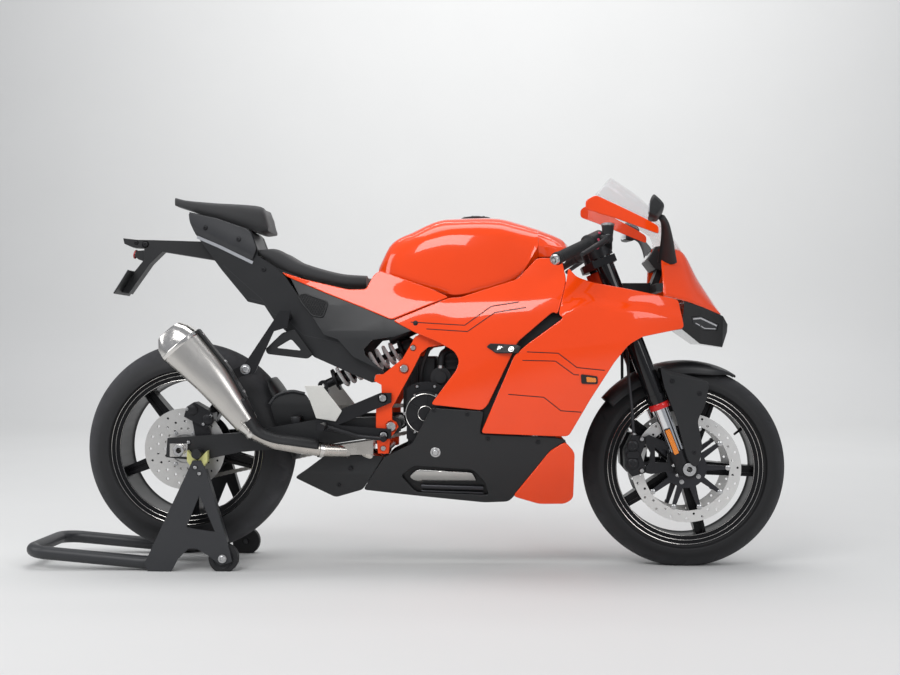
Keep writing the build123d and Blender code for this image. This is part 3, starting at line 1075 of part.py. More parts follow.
apex_z = SPOOL_Z - 19
neck_z = SPOOL_Z - 45
stand_outline = from_spool([
    (12, apex_z), (26, neck_z), (98, 62), (104, 34), (70, 24), (34, 52), (0, 72), (-24, 72), (-55, 40),
    (-76, 0), (-140, 0), (-152, 28), (-144, 44), (-12, apex_z)])
stand_hole = from_spool([(8, 226), (-30, 132), (54, 120)])
front_fold = from_spool([(26, neck_z), (98, 62), (93, 62), (21, neck_z)])
back_fold = from_spool([(-144, 44), (-12, apex_z), (-6, apex_z - 3), (-138, 41)])
plate = prism(stand_outline, -STAND_PLATE_Y - STAND_PLATE_T, -STAND_PLATE_Y)
plate = plate - prism(stand_hole, -300, 0)
HOOK_FIT = 0.3
hook_notch = SPOOL_R + HOOK_FIT
notch_low = SPOOL_Z - hook_notch * math.sqrt(2)
hook_outline = [
    (SPOOL_X + dx, notch_low + dz) for dx, dz in (
        (-30, 30), (-22, 22), (0, 0), (22, 22), (30, 30), (30, -2), (12, -26), (-12, -26), (-30, -2))]
hook = prism(hook_outline, -STAND_PLATE_Y, 24 - STAND_PLATE_Y)
PIN_R = 8.0
pin = disc(ROLLER_X, ROLLER_R, PIN_R, -STAND_PLATE_Y - 9, 30 - STAND_PLATE_Y)
folds = prism(front_fold, -STAND_PLATE_Y - 1, 22 - STAND_PLATE_Y)
folds = folds - disc(ROLLER_X, ROLLER_R, ROLLER_R + 6, -300, 0)
folds = folds + prism(back_fold, -STAND_PLATE_Y - 1, 22 - STAND_PLATE_Y)
folds = folds - prism(hook_outline, -300, 0)
tube_y = STAND_PLATE_Y - STAND_TUBE_R + 1
end_x = STAND_END_X + STAND_TUBE_R
handle_path = [
    (SPOOL_X - 90, -tube_y, 28), (SPOOL_X - 160, -tube_y, 28), (end_x, -tube_y, 58), (end_x, tube_y, 58),
    (SPOOL_X - 160, tube_y, 28), (SPOOL_X - 90, tube_y, 28)]
handle = tube(handle_path, STAND_TUBE_R, 60)
WELD_GAP = 0.3
seat = rod((SPOOL_X - 90 + WELD_GAP, -tube_y, 28), (SPOOL_X - 190, -tube_y, 28), STAND_TUBE_R + WELD_GAP)
upright = fused([plate, pin] + list(folds.solids())) - seat
save("paddock_stand", [handle] + both_sides(upright.solids()[0]))
save("stand_hooks", both_sides(hook))
roller_y0, roller_y1 = -STAND_PLATE_Y + 2, -STAND_PLATE_Y + 2 + ROLLER_W
roller = ring(ROLLER_X, ROLLER_R, ROLLER_R, PIN_R + RUNNING_FIT, roller_y0, roller_y1)
save("stand_roller_right", [roller])
save("stand_roller_left", [roller.mirror(Plane.XZ)])
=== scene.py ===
import math

import bmesh
import bpy
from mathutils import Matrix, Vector
from mathutils.geometry import delaunay_2d_cdt


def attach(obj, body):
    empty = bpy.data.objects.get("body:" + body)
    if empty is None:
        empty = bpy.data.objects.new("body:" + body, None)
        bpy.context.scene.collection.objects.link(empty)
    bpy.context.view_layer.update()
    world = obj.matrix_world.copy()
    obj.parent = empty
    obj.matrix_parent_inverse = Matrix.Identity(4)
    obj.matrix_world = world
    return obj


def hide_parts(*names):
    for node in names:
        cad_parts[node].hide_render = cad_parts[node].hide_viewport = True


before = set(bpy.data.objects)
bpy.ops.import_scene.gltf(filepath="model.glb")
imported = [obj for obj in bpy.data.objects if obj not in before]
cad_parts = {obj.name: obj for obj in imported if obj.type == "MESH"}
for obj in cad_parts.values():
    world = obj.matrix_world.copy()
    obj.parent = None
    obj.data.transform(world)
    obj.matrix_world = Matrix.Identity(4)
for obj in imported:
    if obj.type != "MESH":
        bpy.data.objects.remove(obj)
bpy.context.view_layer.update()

bl_info = {
    "name": "Sport bike on a paddock stand",
    "version": (1, 0, 0),
    "blender": (4, 5, 0),
    "location": "View3D > Sidebar > Sport bike",
    "description": "Dresses the sport bike's solids with bodywork, tyres, trim and finishes",
    "category": "Object",
}

MM = 0.001
finishes = {}

# Places that several pieces share, in millimetres

FRONT = (824.0, 0.0, 300.0)
REAR = (-655.0, 0.0, 354.0)
CLUTCH = (62.0, 462.0)
GENERATOR = (215.0, 432.0)
FRONT_SPROCKET = (45.0, 440.0)
CHAIN_Y = 100.0
ROLLER = (-524.0, 43.0)
RIGHT = (0, -1, 0)
LEFT = (0, 1, 0)
UP = (0, 0, 1)


# Sizes and colours that can be changed


class BikeSizes(bpy.types.PropertyGroup):
    """Sizes of the dressed parts."""
    panel_edge: bpy.props.FloatProperty(
        name="Panel edge", description="Radius of the body panels' outer edges",
        default=0.0028, unit="LENGTH", subtype="DISTANCE")
    panel_wall: bpy.props.FloatProperty(
        name="Panel wall", description="Thickness of the body panels",
        default=0.004, unit="LENGTH", subtype="DISTANCE")
    tread_depth: bpy.props.FloatProperty(
        name="Tread depth", description="Depth of the tyres' grooves",
        default=0.0028, unit="LENGTH", subtype="DISTANCE")
    stripe_width: bpy.props.FloatProperty(
        name="Pinstripe width", description="Width of the dark pinstripes",
        default=0.0024, unit="LENGTH", subtype="DISTANCE")
    chain_pitch: bpy.props.FloatProperty(
        name="Chain pitch", description="Distance between two chain pins",
        default=0.015875, unit="LENGTH", subtype="DISTANCE")


class BikeColours(bpy.types.PropertyGroup):
    """Main colours of the finishes, as linear light."""
    paint: bpy.props.FloatVectorProperty(
        name="Body paint", description="Gloss orange of the bodywork",
        size=3, subtype="COLOR", min=0, max=1, default=(0.95, 0.066, 0.004))
    plastic: bpy.props.FloatVectorProperty(
        name="Dark plastic", description="Satin black of the tail, pans and guards",
        size=3, subtype="COLOR", min=0, max=1, default=(0.0125, 0.0128, 0.0138))
    rubber: bpy.props.FloatVectorProperty(
        name="Rubber", description="Tyres, grips and pads",
        size=3, subtype="COLOR", min=0, max=1, default=(0.013, 0.013, 0.014))
    steel: bpy.props.FloatVectorProperty(
        name="Steel", description="Silencer, discs and bolts",
        size=3, subtype="COLOR", min=0, max=1, default=(0.56, 0.54, 0.51))
    backdrop: bpy.props.FloatVectorProperty(
        name="Backdrop", description="Floor and backdrop",
        size=3, subtype="COLOR", min=0, max=1, default=(0.72, 0.72, 0.71))


# Shader sums


class Value:
    """A socket of a finish that takes part in sums."""

    def __init__(self, finish, socket):
        self.finish = finish
        self.socket = socket

    def maths(self, operation, *terms):
        return self.finish.node("ShaderNodeMath", {"operation": operation}, dict(enumerate(terms)))

    def __add__(self, other):
        return self.maths("ADD", self, other)

    def __radd__(self, other):
        return self.maths("ADD", other, self)

    def __sub__(self, other):
        return self.maths("SUBTRACT", self, other)

    def __rsub__(self, other):
        return self.maths("SUBTRACT", other, self)

    def __mul__(self, other):
        return self.maths("MULTIPLY", self, other)

    def __rmul__(self, other):
        return self.maths("MULTIPLY", other, self)

    def root(self):
        return self.maths("SQRT", self)

    def wave(self):
        return self.maths("SINE", self)


class Finish:
    """One procedural material."""

    def __init__(self, name, constants):
        self.material = bpy.data.materials.new(name)
        self.material.use_nodes = True
        self.tree = self.material.node_tree
        self.shader = self.tree.nodes["Principled BSDF"]
        for socket, value in constants.items():
            self.shader.inputs[socket].default_value = value

    def node(self, kind, settings=None, inputs=None, output=0):
        """Add a node of a kind, set it up, and give one of its outputs."""
        node = self.tree.nodes.new(kind)
        for key, value in (settings or {}).items():
            setattr(node, key, value)
        for key, value in (inputs or {}).items():
            if isinstance(value, Value):
                self.tree.links.new(value.socket, node.inputs[key])
            else:
                node.inputs[key].default_value = value
        return Value(self, node.outputs[output])

    def place(self, stretch=(1, 1, 1)):
        """Object coordinates in metres, stretched along the axes."""
        spot = self.node("ShaderNodeTexCoord", output="Object")
        return self.node("ShaderNodeVectorMath", {"operation": "MULTIPLY"}, {0: spot, 1: stretch})

    def noise(self, scale, detail=3.0, stretch=(1, 1, 1)):
        return self.node("ShaderNodeTexNoise", None, {
            "Vector": self.place(stretch), "Scale": scale, "Detail": detail, "Roughness": 0.55})

    def across(self):
        """Object coordinates along x and z."""
        place = self.place()
        return [self.node("ShaderNodeSeparateXYZ", None, {0: place}, k) for k in (0, 2)]

    def reach(self, at):
        """Distance from an axle that runs along y."""
        x, z = self.across()
        dx, dz = x - at[0] * MM, z - at[2] * MM
        return (dx * dx + dz * dz).root()

    def mix(self, share, first, second):
        def rgba(colour):
            return colour if isinstance(colour, Value) else (*colour[:3], 1.0)
        return self.node(
            "ShaderNodeMix", {"data_type": "RGBA"}, {0: share, 6: rgba(first), 7: rgba(second)}, 2)

    def feed(self, socket, value):
        self.tree.links.new(value.socket, self.shader.inputs[socket])

    def bump(self, height, distance):
        self.feed("Normal", self.node("ShaderNodeBump", None, {
            "Height": height, "Distance": distance, "Strength": 1.0}))

    def tone(self, share, colour, dark, pale):
        """Colour the finish between a darker and a paler shade."""
        self.feed("Base Color", self.mix(share, shade(colour, dark), shade(colour, pale)))


def shade(colour, factor):
    """Lighter or darker colour."""
    return tuple(min(1.0, c * factor) for c in colour)


# Points, faces and pieces

# Largest share of a side that a rounded corner may take
CORNER_SHARE = 0.42
# Pitch of the points along a panel's edge, in millimetres, and its rows' share of the grid's pitch
EDGE_PITCH = 9.0
ROW_SHARE = 0.87


class Shape:
    """Points in millimetres and faces, gathered before a piece is made."""

    def __init__(self):
        self.points = []
        self.faces = []
        self.normals = []

    def add(self, points, faces, normals=None):
        base = len(self.points)
        self.points += [tuple(p) for p in points]
        self.faces += [tuple(base + k for k in face) for face in faces]
        self.normals += list(normals) if normals else [(0, 0, 0)] * len(points)
        return self

    def loft(self, rings, cap=True, closed=True):
        """Skin a row of rings that have the same number of points."""
        count = len(rings[0])
        points = [p for ring in rings for p in ring]
        faces = []
        for k in range(len(rings) - 1):
            for j in range(count if closed else count - 1):
                a, b = k * count + j, k * count + (j + 1) % count
                faces.append((a, b, b + count, a + count))
        if cap:
            faces.append(tuple(range(count))[::-1])
            faces.append(tuple((len(rings) - 1) * count + j for j in range(count)))
        return self.add(points, faces)

    def lathe(self, profile, at, axis=LEFT, steps=48, closed=False, cap=False):
        """Turn an outline of (radius, along) about an axis through a point."""
        way = Vector(axis).normalized()
        side = way.orthogonal().normalized()
        other = way.cross(side)
        at = Vector(at)
        rings = []
        for k in range(steps):
            turn = 2 * math.pi * k / steps
            out = side * math.cos(turn) + other * math.sin(turn)
            rings.append([at + way * along + out * r for r, along in profile])
        count = len(profile)
        points = [p for ring in rings for p in ring]
        faces = []
        for k in range(steps):
            for j in range(count if closed else count - 1):
                j2 = (j + 1) % count
                k2 = (k + 1) % steps
                faces.append((k * count + j, k * count + j2, k2 * count + j2, k2 * count + j))
        if cap:
            faces.append(tuple(k * count for k in range(steps)))
            faces.append(tuple(k * count + count - 1 for k in range(steps))[::-1])
        return self.add(points, faces)

    def sweep(self, path, radii, sides=12):
        """Round tube along points; one radius or one for each point."""
        path = [Vector(p) for p in path]
        radii = radii if isinstance(radii, (list, tuple)) else [radii] * len(path)
        way = (path[1] - path[0]).normalized()
        across = way.orthogonal().normalized()
        rings = []
        for k, point in enumerate(path):
            ahead = path[min(k + 1, len(path) - 1)] - path[max(k - 1, 0)]
            way = ahead.normalized()
            across = (across - way * across.dot(way)).normalized()
            third = way.cross(across)
            ring = []
            for j in range(sides):
                turn = 2 * math.pi * j / sides
                ring.append(point + (across * math.cos(turn) + third * math.sin(turn)) * radii[k])
            rings.append(ring)
        return self.loft(rings)

    def slab(self, outline, y0, y1, chamfer=1.2):
        """Plate in the XZ plane between two y values, with chamfered edges."""
        inner = inset(outline, chamfer)
        low, high = min(y0, y1), max(y0, y1)
        return self.loft([
            [(x, low, z) for x, z in inner], [(x, low + chamfer, z) for x, z in outline],
            [(x, high - chamfer, z) for x, z in outline], [(x, high, z) for x, z in inner]])

    def bolt(self, at, axis, radius, height):
        """Socket-head screw standing on a point."""
        r, h = radius, height
        return self.lathe([
            (0.0, h * 0.35), (r * 0.5, h * 0.35), (r * 0.55, h), (r * 0.82, h), (r, h * 0.8), (r, 0.0),
            (r * 1.35, 0.0), (r * 1.35, -h * 0.2), (r * 0.4, -h * 0.2)], at, axis, 18)

    def mirrored(self):
        """The same shape with its left-hand twin."""
        points = [(x, -y, z) for x, y, z in self.points]
        faces = [face[::-1] for face in self.faces]
        normals = [(x, -y, z) for x, y, z in self.normals]
        return self.add(points, faces, normals)


def inset(outline, depth):
    """Outline moved inwards by a depth; outlines may run either way round."""
    count = len(outline)
    area = sum(outline[k][0] * outline[(k + 1) % count][1] - outline[(k + 1) % count][0] * outline[k][1]
               for k in range(count))
    sign = 1 if area > 0 else -1
    moved = []
    for k in range(count):
        before, here, after = (Vector(outline[(k + d) % count]) for d in (-1, 0, 1))
        a = (here - before).normalized()
        b = (after - here).normalized()
        na = Vector((-a.y, a.x)) * sign
        nb = Vector((-b.y, b.x)) * sign
        mid = na + nb
        if mid.length < 0.2:
            moved.append(tuple(here + na * depth))
        else:
            mid.normalize()
            moved.append(tuple(here + mid * depth / max(0.5, mid.dot(na))))
    return moved


def rounded(outline, radius, steps=4):
    """Outline with its corners rounded off."""
    count = len(outline)
    result = []
    for k in range(count):
        before, here, after = (Vector(outline[(k + d) % count]) for d in (-1, 0, 1))
        reach_a = min(radius, CORNER_SHARE * (here - before).length)
        reach_b = min(radius, CORNER_SHARE * (after - here).length)
        start = here + (before - here).normalized() * reach_a
        end = here + (after - here).normalized() * reach_b
        for j in range(steps + 1):
            t = j / steps
            result.append(tuple(start * (1 - t) ** 2 + here * 2 * t * (1 - t) + end * t * t))
    return result


def dense(outline, pitch, closed=True):
    """Outline with points no farther apart than a pitch."""
    count = len(outline)
    result = []
    for k in range(count if closed else count - 1):
        a, b = Vector(outline[k]), Vector(outline[(k + 1) % count])
        parts = max(1, math.ceil((b - a).length / pitch))
        result += [tuple(a.lerp(b, j / parts)) for j in range(parts)]
    return result if closed else result + [tuple(outline[-1])]


def inside(point, outline):
    """Whether a point lies within an outline."""
    x, z = point
    found = False
    for (x0, z0), (x1, z1) in zip(outline, outline[1:] + outline[:1]):
        if (z0 > z) != (z1 > z) and x < x0 + (z - z0) * (x1 - x0) / (z1 - z0):
            found = not found
    return found


def clearance(point, loop):
    """Distance from a point to the nearest point of a dense loop."""
    x, z = point
    return math.sqrt(min((x - a) ** 2 + (z - b) ** 2 for a, b in loop))


def smooth(places, values, at):
    """Smooth curve through (place, value) pairs."""
    last = len(places) - 1
    if at <= places[0]:
        return values[0] + (values[1] - values[0]) * (at - places[0]) / (places[1] - places[0])
    if at >= places[last]:
        return values[last] + (values[last] - values[last - 1]) * (at - places[last]) / (
            places[last] - places[last - 1])
    k = next(j for j in range(last) if at <= places[j + 1])
    step = places[k + 1] - places[k]
    rise = (values[k + 1] - values[k]) / step

    def slope(j):
        if j in (0, last):
            return rise
        return (values[j + 1] - values[j - 1]) / (places[j + 1] - places[j - 1])
    t = (at - places[k]) / step
    return ((2 * t ** 3 - 3 * t ** 2 + 1) * values[k] + (t ** 3 - 2 * t ** 2 + t) * step * slope(k)
            + (3 * t ** 2 - 2 * t ** 3) * values[k + 1] + (t ** 3 - t ** 2) * step * slope(k + 1))


def ease(value):
    """Soft step from 0 to 1."""
    value = max(0.0, min(1.0, value))
    return value * value * (3 - 2 * value)


def around(count, at, radius, phase=0.0):
    """Spots (x, z) evenly round a centre."""
    for k in range(count):
        turn = 2 * math.pi * k / count + phase
        yield at[0] + radius * math.cos(turn), at[-1] + radius * math.sin(turn)


def read(rows, at):
    """Smooth values of a table's other columns at a place in its first."""
    places, *columns = zip(*rows)
    return [smooth(places, column, at) for column in columns]


def along_rows(rows, at):
    """Smooth values of a table's columns at a row number between whole ones."""
    return [smooth(range(len(rows)), column, at) for column in zip(*rows)]


def slopes(half, x, z, step):
    """Rise of a half width along x and z."""
    return ((half(x + step, z) - half(x - step, z)) / (2 * step),
            (half(x, z + step) - half(x, z - step)) / (2 * step))


def panel(shape, outline, width, edge=2.8, wall=4.0, corner=10.0, holes=(), pitch=14.0):
    """Right-hand sheet that follows a half width over an XZ outline, with rounded edges."""
    def surface(x, z):
        w = width(x, z)
        slope_x, slope_z = slopes(width, x, z, 1.5)
        return Vector((x, -w, z)), Vector((-slope_x, -1, -slope_z)).normalized(), slope_x, slope_z
    loops = [dense(rounded(line, corner), EDGE_PITCH) for line in (outline, *holes)]
    flat, turned, edges, ring_of = [], [], [], []
    for number, loop in enumerate(loops):
        area = sum(a[0] * b[1] - b[0] * a[1] for a, b in zip(loop, loop[1:] + loop[:1]))
        if (area > 0) == (number > 0):
            loop.reverse()
        count = len(loop)
        outward = []
        for k in range(count):
            along = Vector(loop[(k + 1) % count]) - Vector(loop[k - 1])
            outward.append(Vector((along.y, -along.x)).normalized())
        for turn in (0.0, 30.0, 60.0, 90.0):
            c, s = math.cos(math.radians(turn)), math.sin(math.radians(turn))
            start = len(flat)
            for k in range(count):
                spot = Vector(loop[k]) - outward[k] * edge * (1 - c)
                flat.append(spot)
                turned.append((edge * (1 - s), s, c, outward[k]))
            if turn == 0.0:
                ring_of.append((start, count))
                edges += [(start + k, start + (k + 1) % count) for k in range(count)]
    xs = [p[0] for p in loops[0]]
    zs = [p[1] for p in loops[0]]
    row = 0
    z = min(zs) + pitch / 2
    while z < max(zs):
        x = min(xs) + (0.5 if row % 2 else 1.0) * pitch
        while x < max(xs):
            spot = (x, z)
            if inside(spot, loops[0]) and not any(inside(spot, hole) for hole in loops[1:]):
                if min(clearance(spot, loop) for loop in loops) > edge + 0.45 * pitch:
                    flat.append(Vector(spot))
                    turned.append((0.0, 1.0, 0.0, Vector((0, 0))))
            x += pitch
        z += pitch * ROW_SHARE
        row += 1
    verts, _, triangles, origin, _, _ = delaunay_2d_cdt(flat, edges, [], 0, 1e-4)
    outer, lining, normals, backs = [], [], [], []
    for spot, source in zip(verts, origin):
        depth, s, c, out = turned[source[0]] if source else (0.0, 1.0, 0.0, Vector((0, 0)))
        point, normal, slope_x, slope_z = surface(*spot)
        rim = Vector((out.x, -(slope_x * out.x + slope_z * out.y), out.y))
        if rim.length > 0:
            rim.normalize()
        outer.append(point - normal * depth)
        normals.append(normal * s + rim * c)
        lining.append(point - normal * wall)
        backs.append(-normal)
    kept = []
    for face in triangles:
        middle = sum((verts[k] for k in face), Vector((0, 0))) / len(face)
        if inside(middle, loops[0]) and not any(inside(middle, hole) for hole in loops[1:]):
            a, b, c = (outer[k] for k in face[:3])
            good = (b - a).cross(c - a).dot(sum((normals[k] for k in face), Vector())) > 0
            kept.append(tuple(face) if good else tuple(face)[::-1])
    shape.add(outer, kept, normals)
    shape.add(lining, [face[::-1] for face in kept], backs)
    index = {}
    for k, source in enumerate(origin):
        for j in source:
            index[j] = k
    for start, count in ring_of:
        band = [index[start + k] for k in range(count)]
        points = [outer[k] for k in band] + [lining[k] for k in band]
        faces = [(k, (k + 1) % count, count + (k + 1) % count, count + k) for k in range(count)]
        shape.add(points, faces, [normals[k] for k in band] * 2)
    return shape


def make(name, shape, finish, body, replaces=(), sharp=38.0):
    """Turn a shape into a piece that rides on a body."""
    mesh = bpy.data.meshes.new(name)
    mesh.from_pydata([(x * MM, y * MM, z * MM) for x, y, z in shape.points], [], shape.faces)
    own = any(any(n) for n in shape.normals)
    if not own:
        work = bmesh.new()
        work.from_mesh(mesh)
        bmesh.ops.remove_doubles(work, verts=work.verts, dist=1e-6)
        bmesh.ops.recalc_face_normals(work, faces=work.faces)
        limit = math.radians(sharp)
        for edge in work.edges:
            if len(edge.link_faces) == 2 and edge.calc_face_angle(0.0) > limit:
                edge.smooth = False
        work.to_mesh(mesh)
        work.free()
    mesh.polygons.foreach_set("use_smooth", [True] * len(mesh.polygons))
    if own:
        mesh.normals_split_custom_set_from_vertices([Vector(n).normalized() for n in shape.normals])
    mesh.update()
    piece = bpy.data.objects.new(name, mesh)
    bpy.context.scene.collection.objects.link(piece)
    mesh.materials.append(finishes[finish].material)
    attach(piece, body)
    if replaces:
        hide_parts(*replaces)
    return piece


def dress(node, finish, bevel):
    """Give a solid its finish, soft edges and shading."""
    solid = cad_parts[node]
    solid.data.materials.clear()
    solid.data.materials.append(finishes[finish].material)
    if bevel:
        join = solid.modifiers.new("Joined corners", "WELD")
        join.merge_threshold = 1e-5
        soft = solid.modifiers.new("Edge break", "BEVEL")
        soft.width = bevel * MM
        soft.segments = 2
        soft.limit_method = "ANGLE"
        soft.angle_limit = math.radians(30.0)
        soft.use_clamp_overlap = True
        soft.harden_normals = False
        normals = solid.modifiers.new("Clean shading", "WEIGHTED_NORMAL")
        normals.keep_sharp = True


# Finishes


def gloss(name, colour, rough=0.16, coat=1.0, peel=0.00003):
    """Lacquered paint with a little orange peel and faint shading."""
    f = Finish(name, {"Coat Weight": coat, "Coat Roughness": 0.04, "Specular IOR Level": 0.1})
    cloud = f.noise(5.0, 2.0)
    f.tone(cloud, colour, 0.93, 1.05)
    dust = f.noise(60.0, 5.0)
    f.feed("Roughness", rough + 0.1 * dust)
    f.bump(f.noise(420.0, 1.0), peel)
    return f


def moulded(name, colour, rough=0.46, grain=700.0, depth=0.00012, spread=0.35, shine=0.42):
    """Satin moulded plastic with a fine grain."""
    f = Finish(name, {"Specular IOR Level": shine})
    cloud = f.noise(9.0, 3.0)
    speck = f.noise(grain, 2.0)
    f.tone(cloud * 0.6 + speck * 0.4, colour, 1 - spread, 1 + spread)
    f.feed("Roughness", rough - 0.06 + 0.14 * cloud)
    f.bump(speck, depth)
    return f


def metal(name, colour, rough, scale, depth, spread, metallic=1.0, stretch=(1, 1, 1)):
    """Metal with brushing or casting grain along the stretched axes."""
    f = Finish(name, {"Metallic": metallic})
    grain = f.noise(scale, 5.0, stretch)
    cloud = f.noise(7.0, 3.0)
    f.tone(grain * 0.5 + cloud * 0.5, colour, 1 - spread, 1 + spread)
    f.feed("Roughness", rough - 0.08 + 0.2 * grain)
    f.bump(grain, depth)
    return f


def turned_metal(name, colour, at):
    """Steel ground in rings about an axle."""
    f = Finish(name, {"Metallic": 0.7})
    spot = f.node("ShaderNodeCombineXYZ", None, {0: f.reach(at), 1: 0.0, 2: 0.0})
    rings = f.node("ShaderNodeTexNoise", None, {"Vector": spot, "Scale": 900.0, "Detail": 3.0})
    cloud = f.noise(14.0, 3.0)
    f.tone(rings * 0.5 + cloud * 0.5, colour, 0.8, 1.12)
    f.feed("Roughness", 0.24 + 0.18 * rings)
    f.bump(rings, 0.00004)
    return f


# Radii in metres between which the tread turns grey

WORN_FROM = 0.262
WORN_TO = 0.3


def tyre_rubber(name, colour, at):
    """Dark rubber, greyer and duller over the tread."""
    f = Finish(name, {"Specular IOR Level": 0.35})
    worn = f.node("ShaderNodeMapRange", {"clamp": True}, {0: f.reach(at), 1: WORN_FROM, 2: WORN_TO})
    speck = f.noise(520.0, 4.0)
    patch = f.noise(18.0, 4.0)
    dark = f.mix(speck, shade(colour, 0.7), shade(colour, 1.3))
    pale = f.mix(patch, shade(colour, 2.6), shade(colour, 6.5))
    f.feed("Base Color", f.mix(worn * (0.45 + 0.4 * patch), dark, pale))
    f.feed("Roughness", 0.52 + 0.25 * worn + 0.12 * speck)
    f.bump(speck, 0.00025)
    return f


def seat_cover(name, colour):
    """Grained vinyl with a soft sheen."""
    f = Finish(name, {"Sheen Weight": 0.2, "Sheen Roughness": 0.5})
    cells = f.node("ShaderNodeTexVoronoi", None, {"Vector": f.place(), "Scale": 620.0})
    cloud = f.noise(12.0, 3.0)
    f.tone(cloud, colour, 0.7, 1.5)
    f.feed("Roughness", 0.55 + 0.15 * cloud)
    f.bump(cells, 0.0003)
    return f


def clear_sheet(name, tint):
    """Thin clear moulding."""
    f = Finish(name, {"IOR": 1.45, "Specular IOR Level": 0.7})
    haze = f.noise(26.0, 4.0)
    f.tone(haze, tint, 0.9, 1.0)
    f.feed("Roughness", 0.02 + 0.05 * haze)
    f.feed("Alpha", 0.2 + 0.06 * haze)
    f.material.surface_render_method = "BLENDED"
    return f


def lens(name, colour):
    """Ribbed coloured lens."""
    f = Finish(name, {"Coat Weight": 1.0, "Coat Roughness": 0.05, "Emission Strength": 0.0})
    x, z = f.across()
    ribs = (x * 900.0).wave() * (z * 900.0).wave()
    f.tone(0.5 + 0.5 * ribs, colour, 0.7, 1.2)
    f.feed("Roughness", 0.16 + 0.08 * f.noise(80.0))
    f.bump(ribs, 0.0004)
    return f


def make_finishes(colours):
    black = colours.plastic
    steel = colours.steel
    rubber = colours.rubber
    ebony = (0.008, 0.008, 0.009)
    dim = (0.05, 0.05, 0.055)
    made = {
        "paint": gloss("gloss_orange", colours.paint),
        "dark_gloss": gloss("gloss_black", ebony, 0.12, 0.7),
        "smoked": gloss("smoked_glass", (0.012, 0.013, 0.015), 0.06, 1.0, 0.00001),
        "red_ring": gloss("anodised_red", (0.62, 0.02, 0.02), 0.25, 0.6),
        "spring": gloss("spring_white", (0.88, 0.88, 0.87), 0.25, 0.5),
        "clip": gloss("pink_clip", (0.6, 0.06, 0.12), 0.3, 0.4),
        "front_disc": turned_metal("front_disc_steel", (0.78, 0.77, 0.75), FRONT),
        "rear_disc": turned_metal("rear_disc_steel", (0.64, 0.63, 0.61), REAR),
        "front_rubber": tyre_rubber("front_tyre_rubber", rubber, FRONT),
        "rear_rubber": tyre_rubber("rear_tyre_rubber", shade(rubber, 1.15), REAR),
        "seat": seat_cover("seat_vinyl", (0.014, 0.014, 0.015)),
        "clear": clear_sheet("clear_screen", (0.75, 0.76, 0.77)),
        "lamp": lens("lamp_lens", (0.5, 0.5, 0.52)),
        "red_lens": lens("red_lens", (0.42, 0.008, 0.006)),
        "amber": lens("amber_reflector", (0.9, 0.24, 0.01)),
        "satin_black": moulded("satin_black", black),
        # Black darkened further to paint shade into recesses (vent linings, the belly slot's backing,
        # grille recesses, the silencer's throat); the pinstripes use it as their own dark colour
        "shade_and_stripe_black": moulded("shade_and_stripe_black", shade(black, 0.55), 0.6),
    }
    for key, name, colour, *surface in (
            # finish, material, colour, roughness, grain, depth, spread and shine
            ("cast_orange", "cast_orange", colours.paint, 0.36, 320.0, 0.0002, 0.1),
            ("panel_black", "panel_black", shade(black, 1.25), 0.38, 900.0, 0.00006, 0.2),
            ("graphite", "graphite_plastic", shade(black, 2.6), 0.34, 900.0, 0.00005, 0.25),
            ("rim_black", "rim_enamel", ebony, 0.3, 900.0, 0.00002, 0.2, 0.16),
            ("rubber", "soft_rubber", rubber, 0.62, 500.0, 0.0003),
            ("stand_grey", "stand_powder", (0.033, 0.034, 0.037), 0.42, 800.0, 0.0001, 0.2),
            ("hook", "hook_plastic", (0.56, 0.55, 0.22), 0.5, 300.0, 0.0002, 0.12),
            ("plate_grey", "plate_blank", (0.36, 0.37, 0.38), 0.4, 400.0, 0.00008, 0.12)):
        made[key] = moulded(name, colour, *surface)
    for key, name, colour, *surface in (
            # finish, material, colour, roughness, grain, depth, spread, metallic and stretch
            ("black_metal", "black_anodised", (0.022, 0.022, 0.024), 0.38, 420.0, 0.00008, 0.3, 0.6),
            ("engine_black", "engine_coating", (0.03, 0.03, 0.032), 0.48, 300.0, 0.0002, 0.35, 0.45),
            ("cast_grey", "cast_alloy", (0.3, 0.3, 0.3), 0.42, 260.0, 0.0002, 0.3),
            ("brushed", "brushed_steel", shade(steel, 1.05), 0.3, 60.0, 0.00005, 0.12, 1.0, (14, 14, 1)),
            ("polished", "polished_steel", (0.7, 0.68, 0.65), 0.16, 90.0, 0.00002, 0.1),
            ("pipe", "pipe_steel", (0.56, 0.53, 0.49), 0.24, 40.0, 0.00004, 0.35),
            ("shield_steel", "shield_steel", (0.5, 0.49, 0.47), 0.2, 60.0, 0.00003, 0.2),
            ("chrome", "chrome", (0.78, 0.79, 0.8), 0.1, 70.0, 0.00001, 0.08, 1.0, (1, 1, 9)),
            ("bolt", "bolt_steel", (0.55, 0.55, 0.55), 0.28, 300.0, 0.00004, 0.2),
            ("alloy", "pale_alloy", (0.72, 0.71, 0.67), 0.42, 200.0, 0.00008, 0.1, 0.4),
            ("mirror", "mirror_glass", (0.85, 0.86, 0.88), 0.05, 20.0, 0.0, 0.03),
            ("silver_trim", "silver_trim", (0.5, 0.51, 0.53), 0.32, 200.0, 0.00003, 0.1, 0.7),
            ("chain_steel", "chain_steel", (0.6, 0.58, 0.54), 0.34, 240.0, 0.00006, 0.2, 0.7),
            ("fins", "radiator_fins", dim, 0.5, 6.0, 0.0008, 0.6, 0.6, (1, 1, 160)),
            ("braid", "braided_hose", dim, 0.45, 900.0, 0.0004, 0.5, 0.4),
            ("hard_coat", "hard_coated_steel", dim, 0.3, 200.0, 0.00003, 0.2, 0.9)):
        made[key] = metal(name, colour, *surface)
    finishes.update(made)


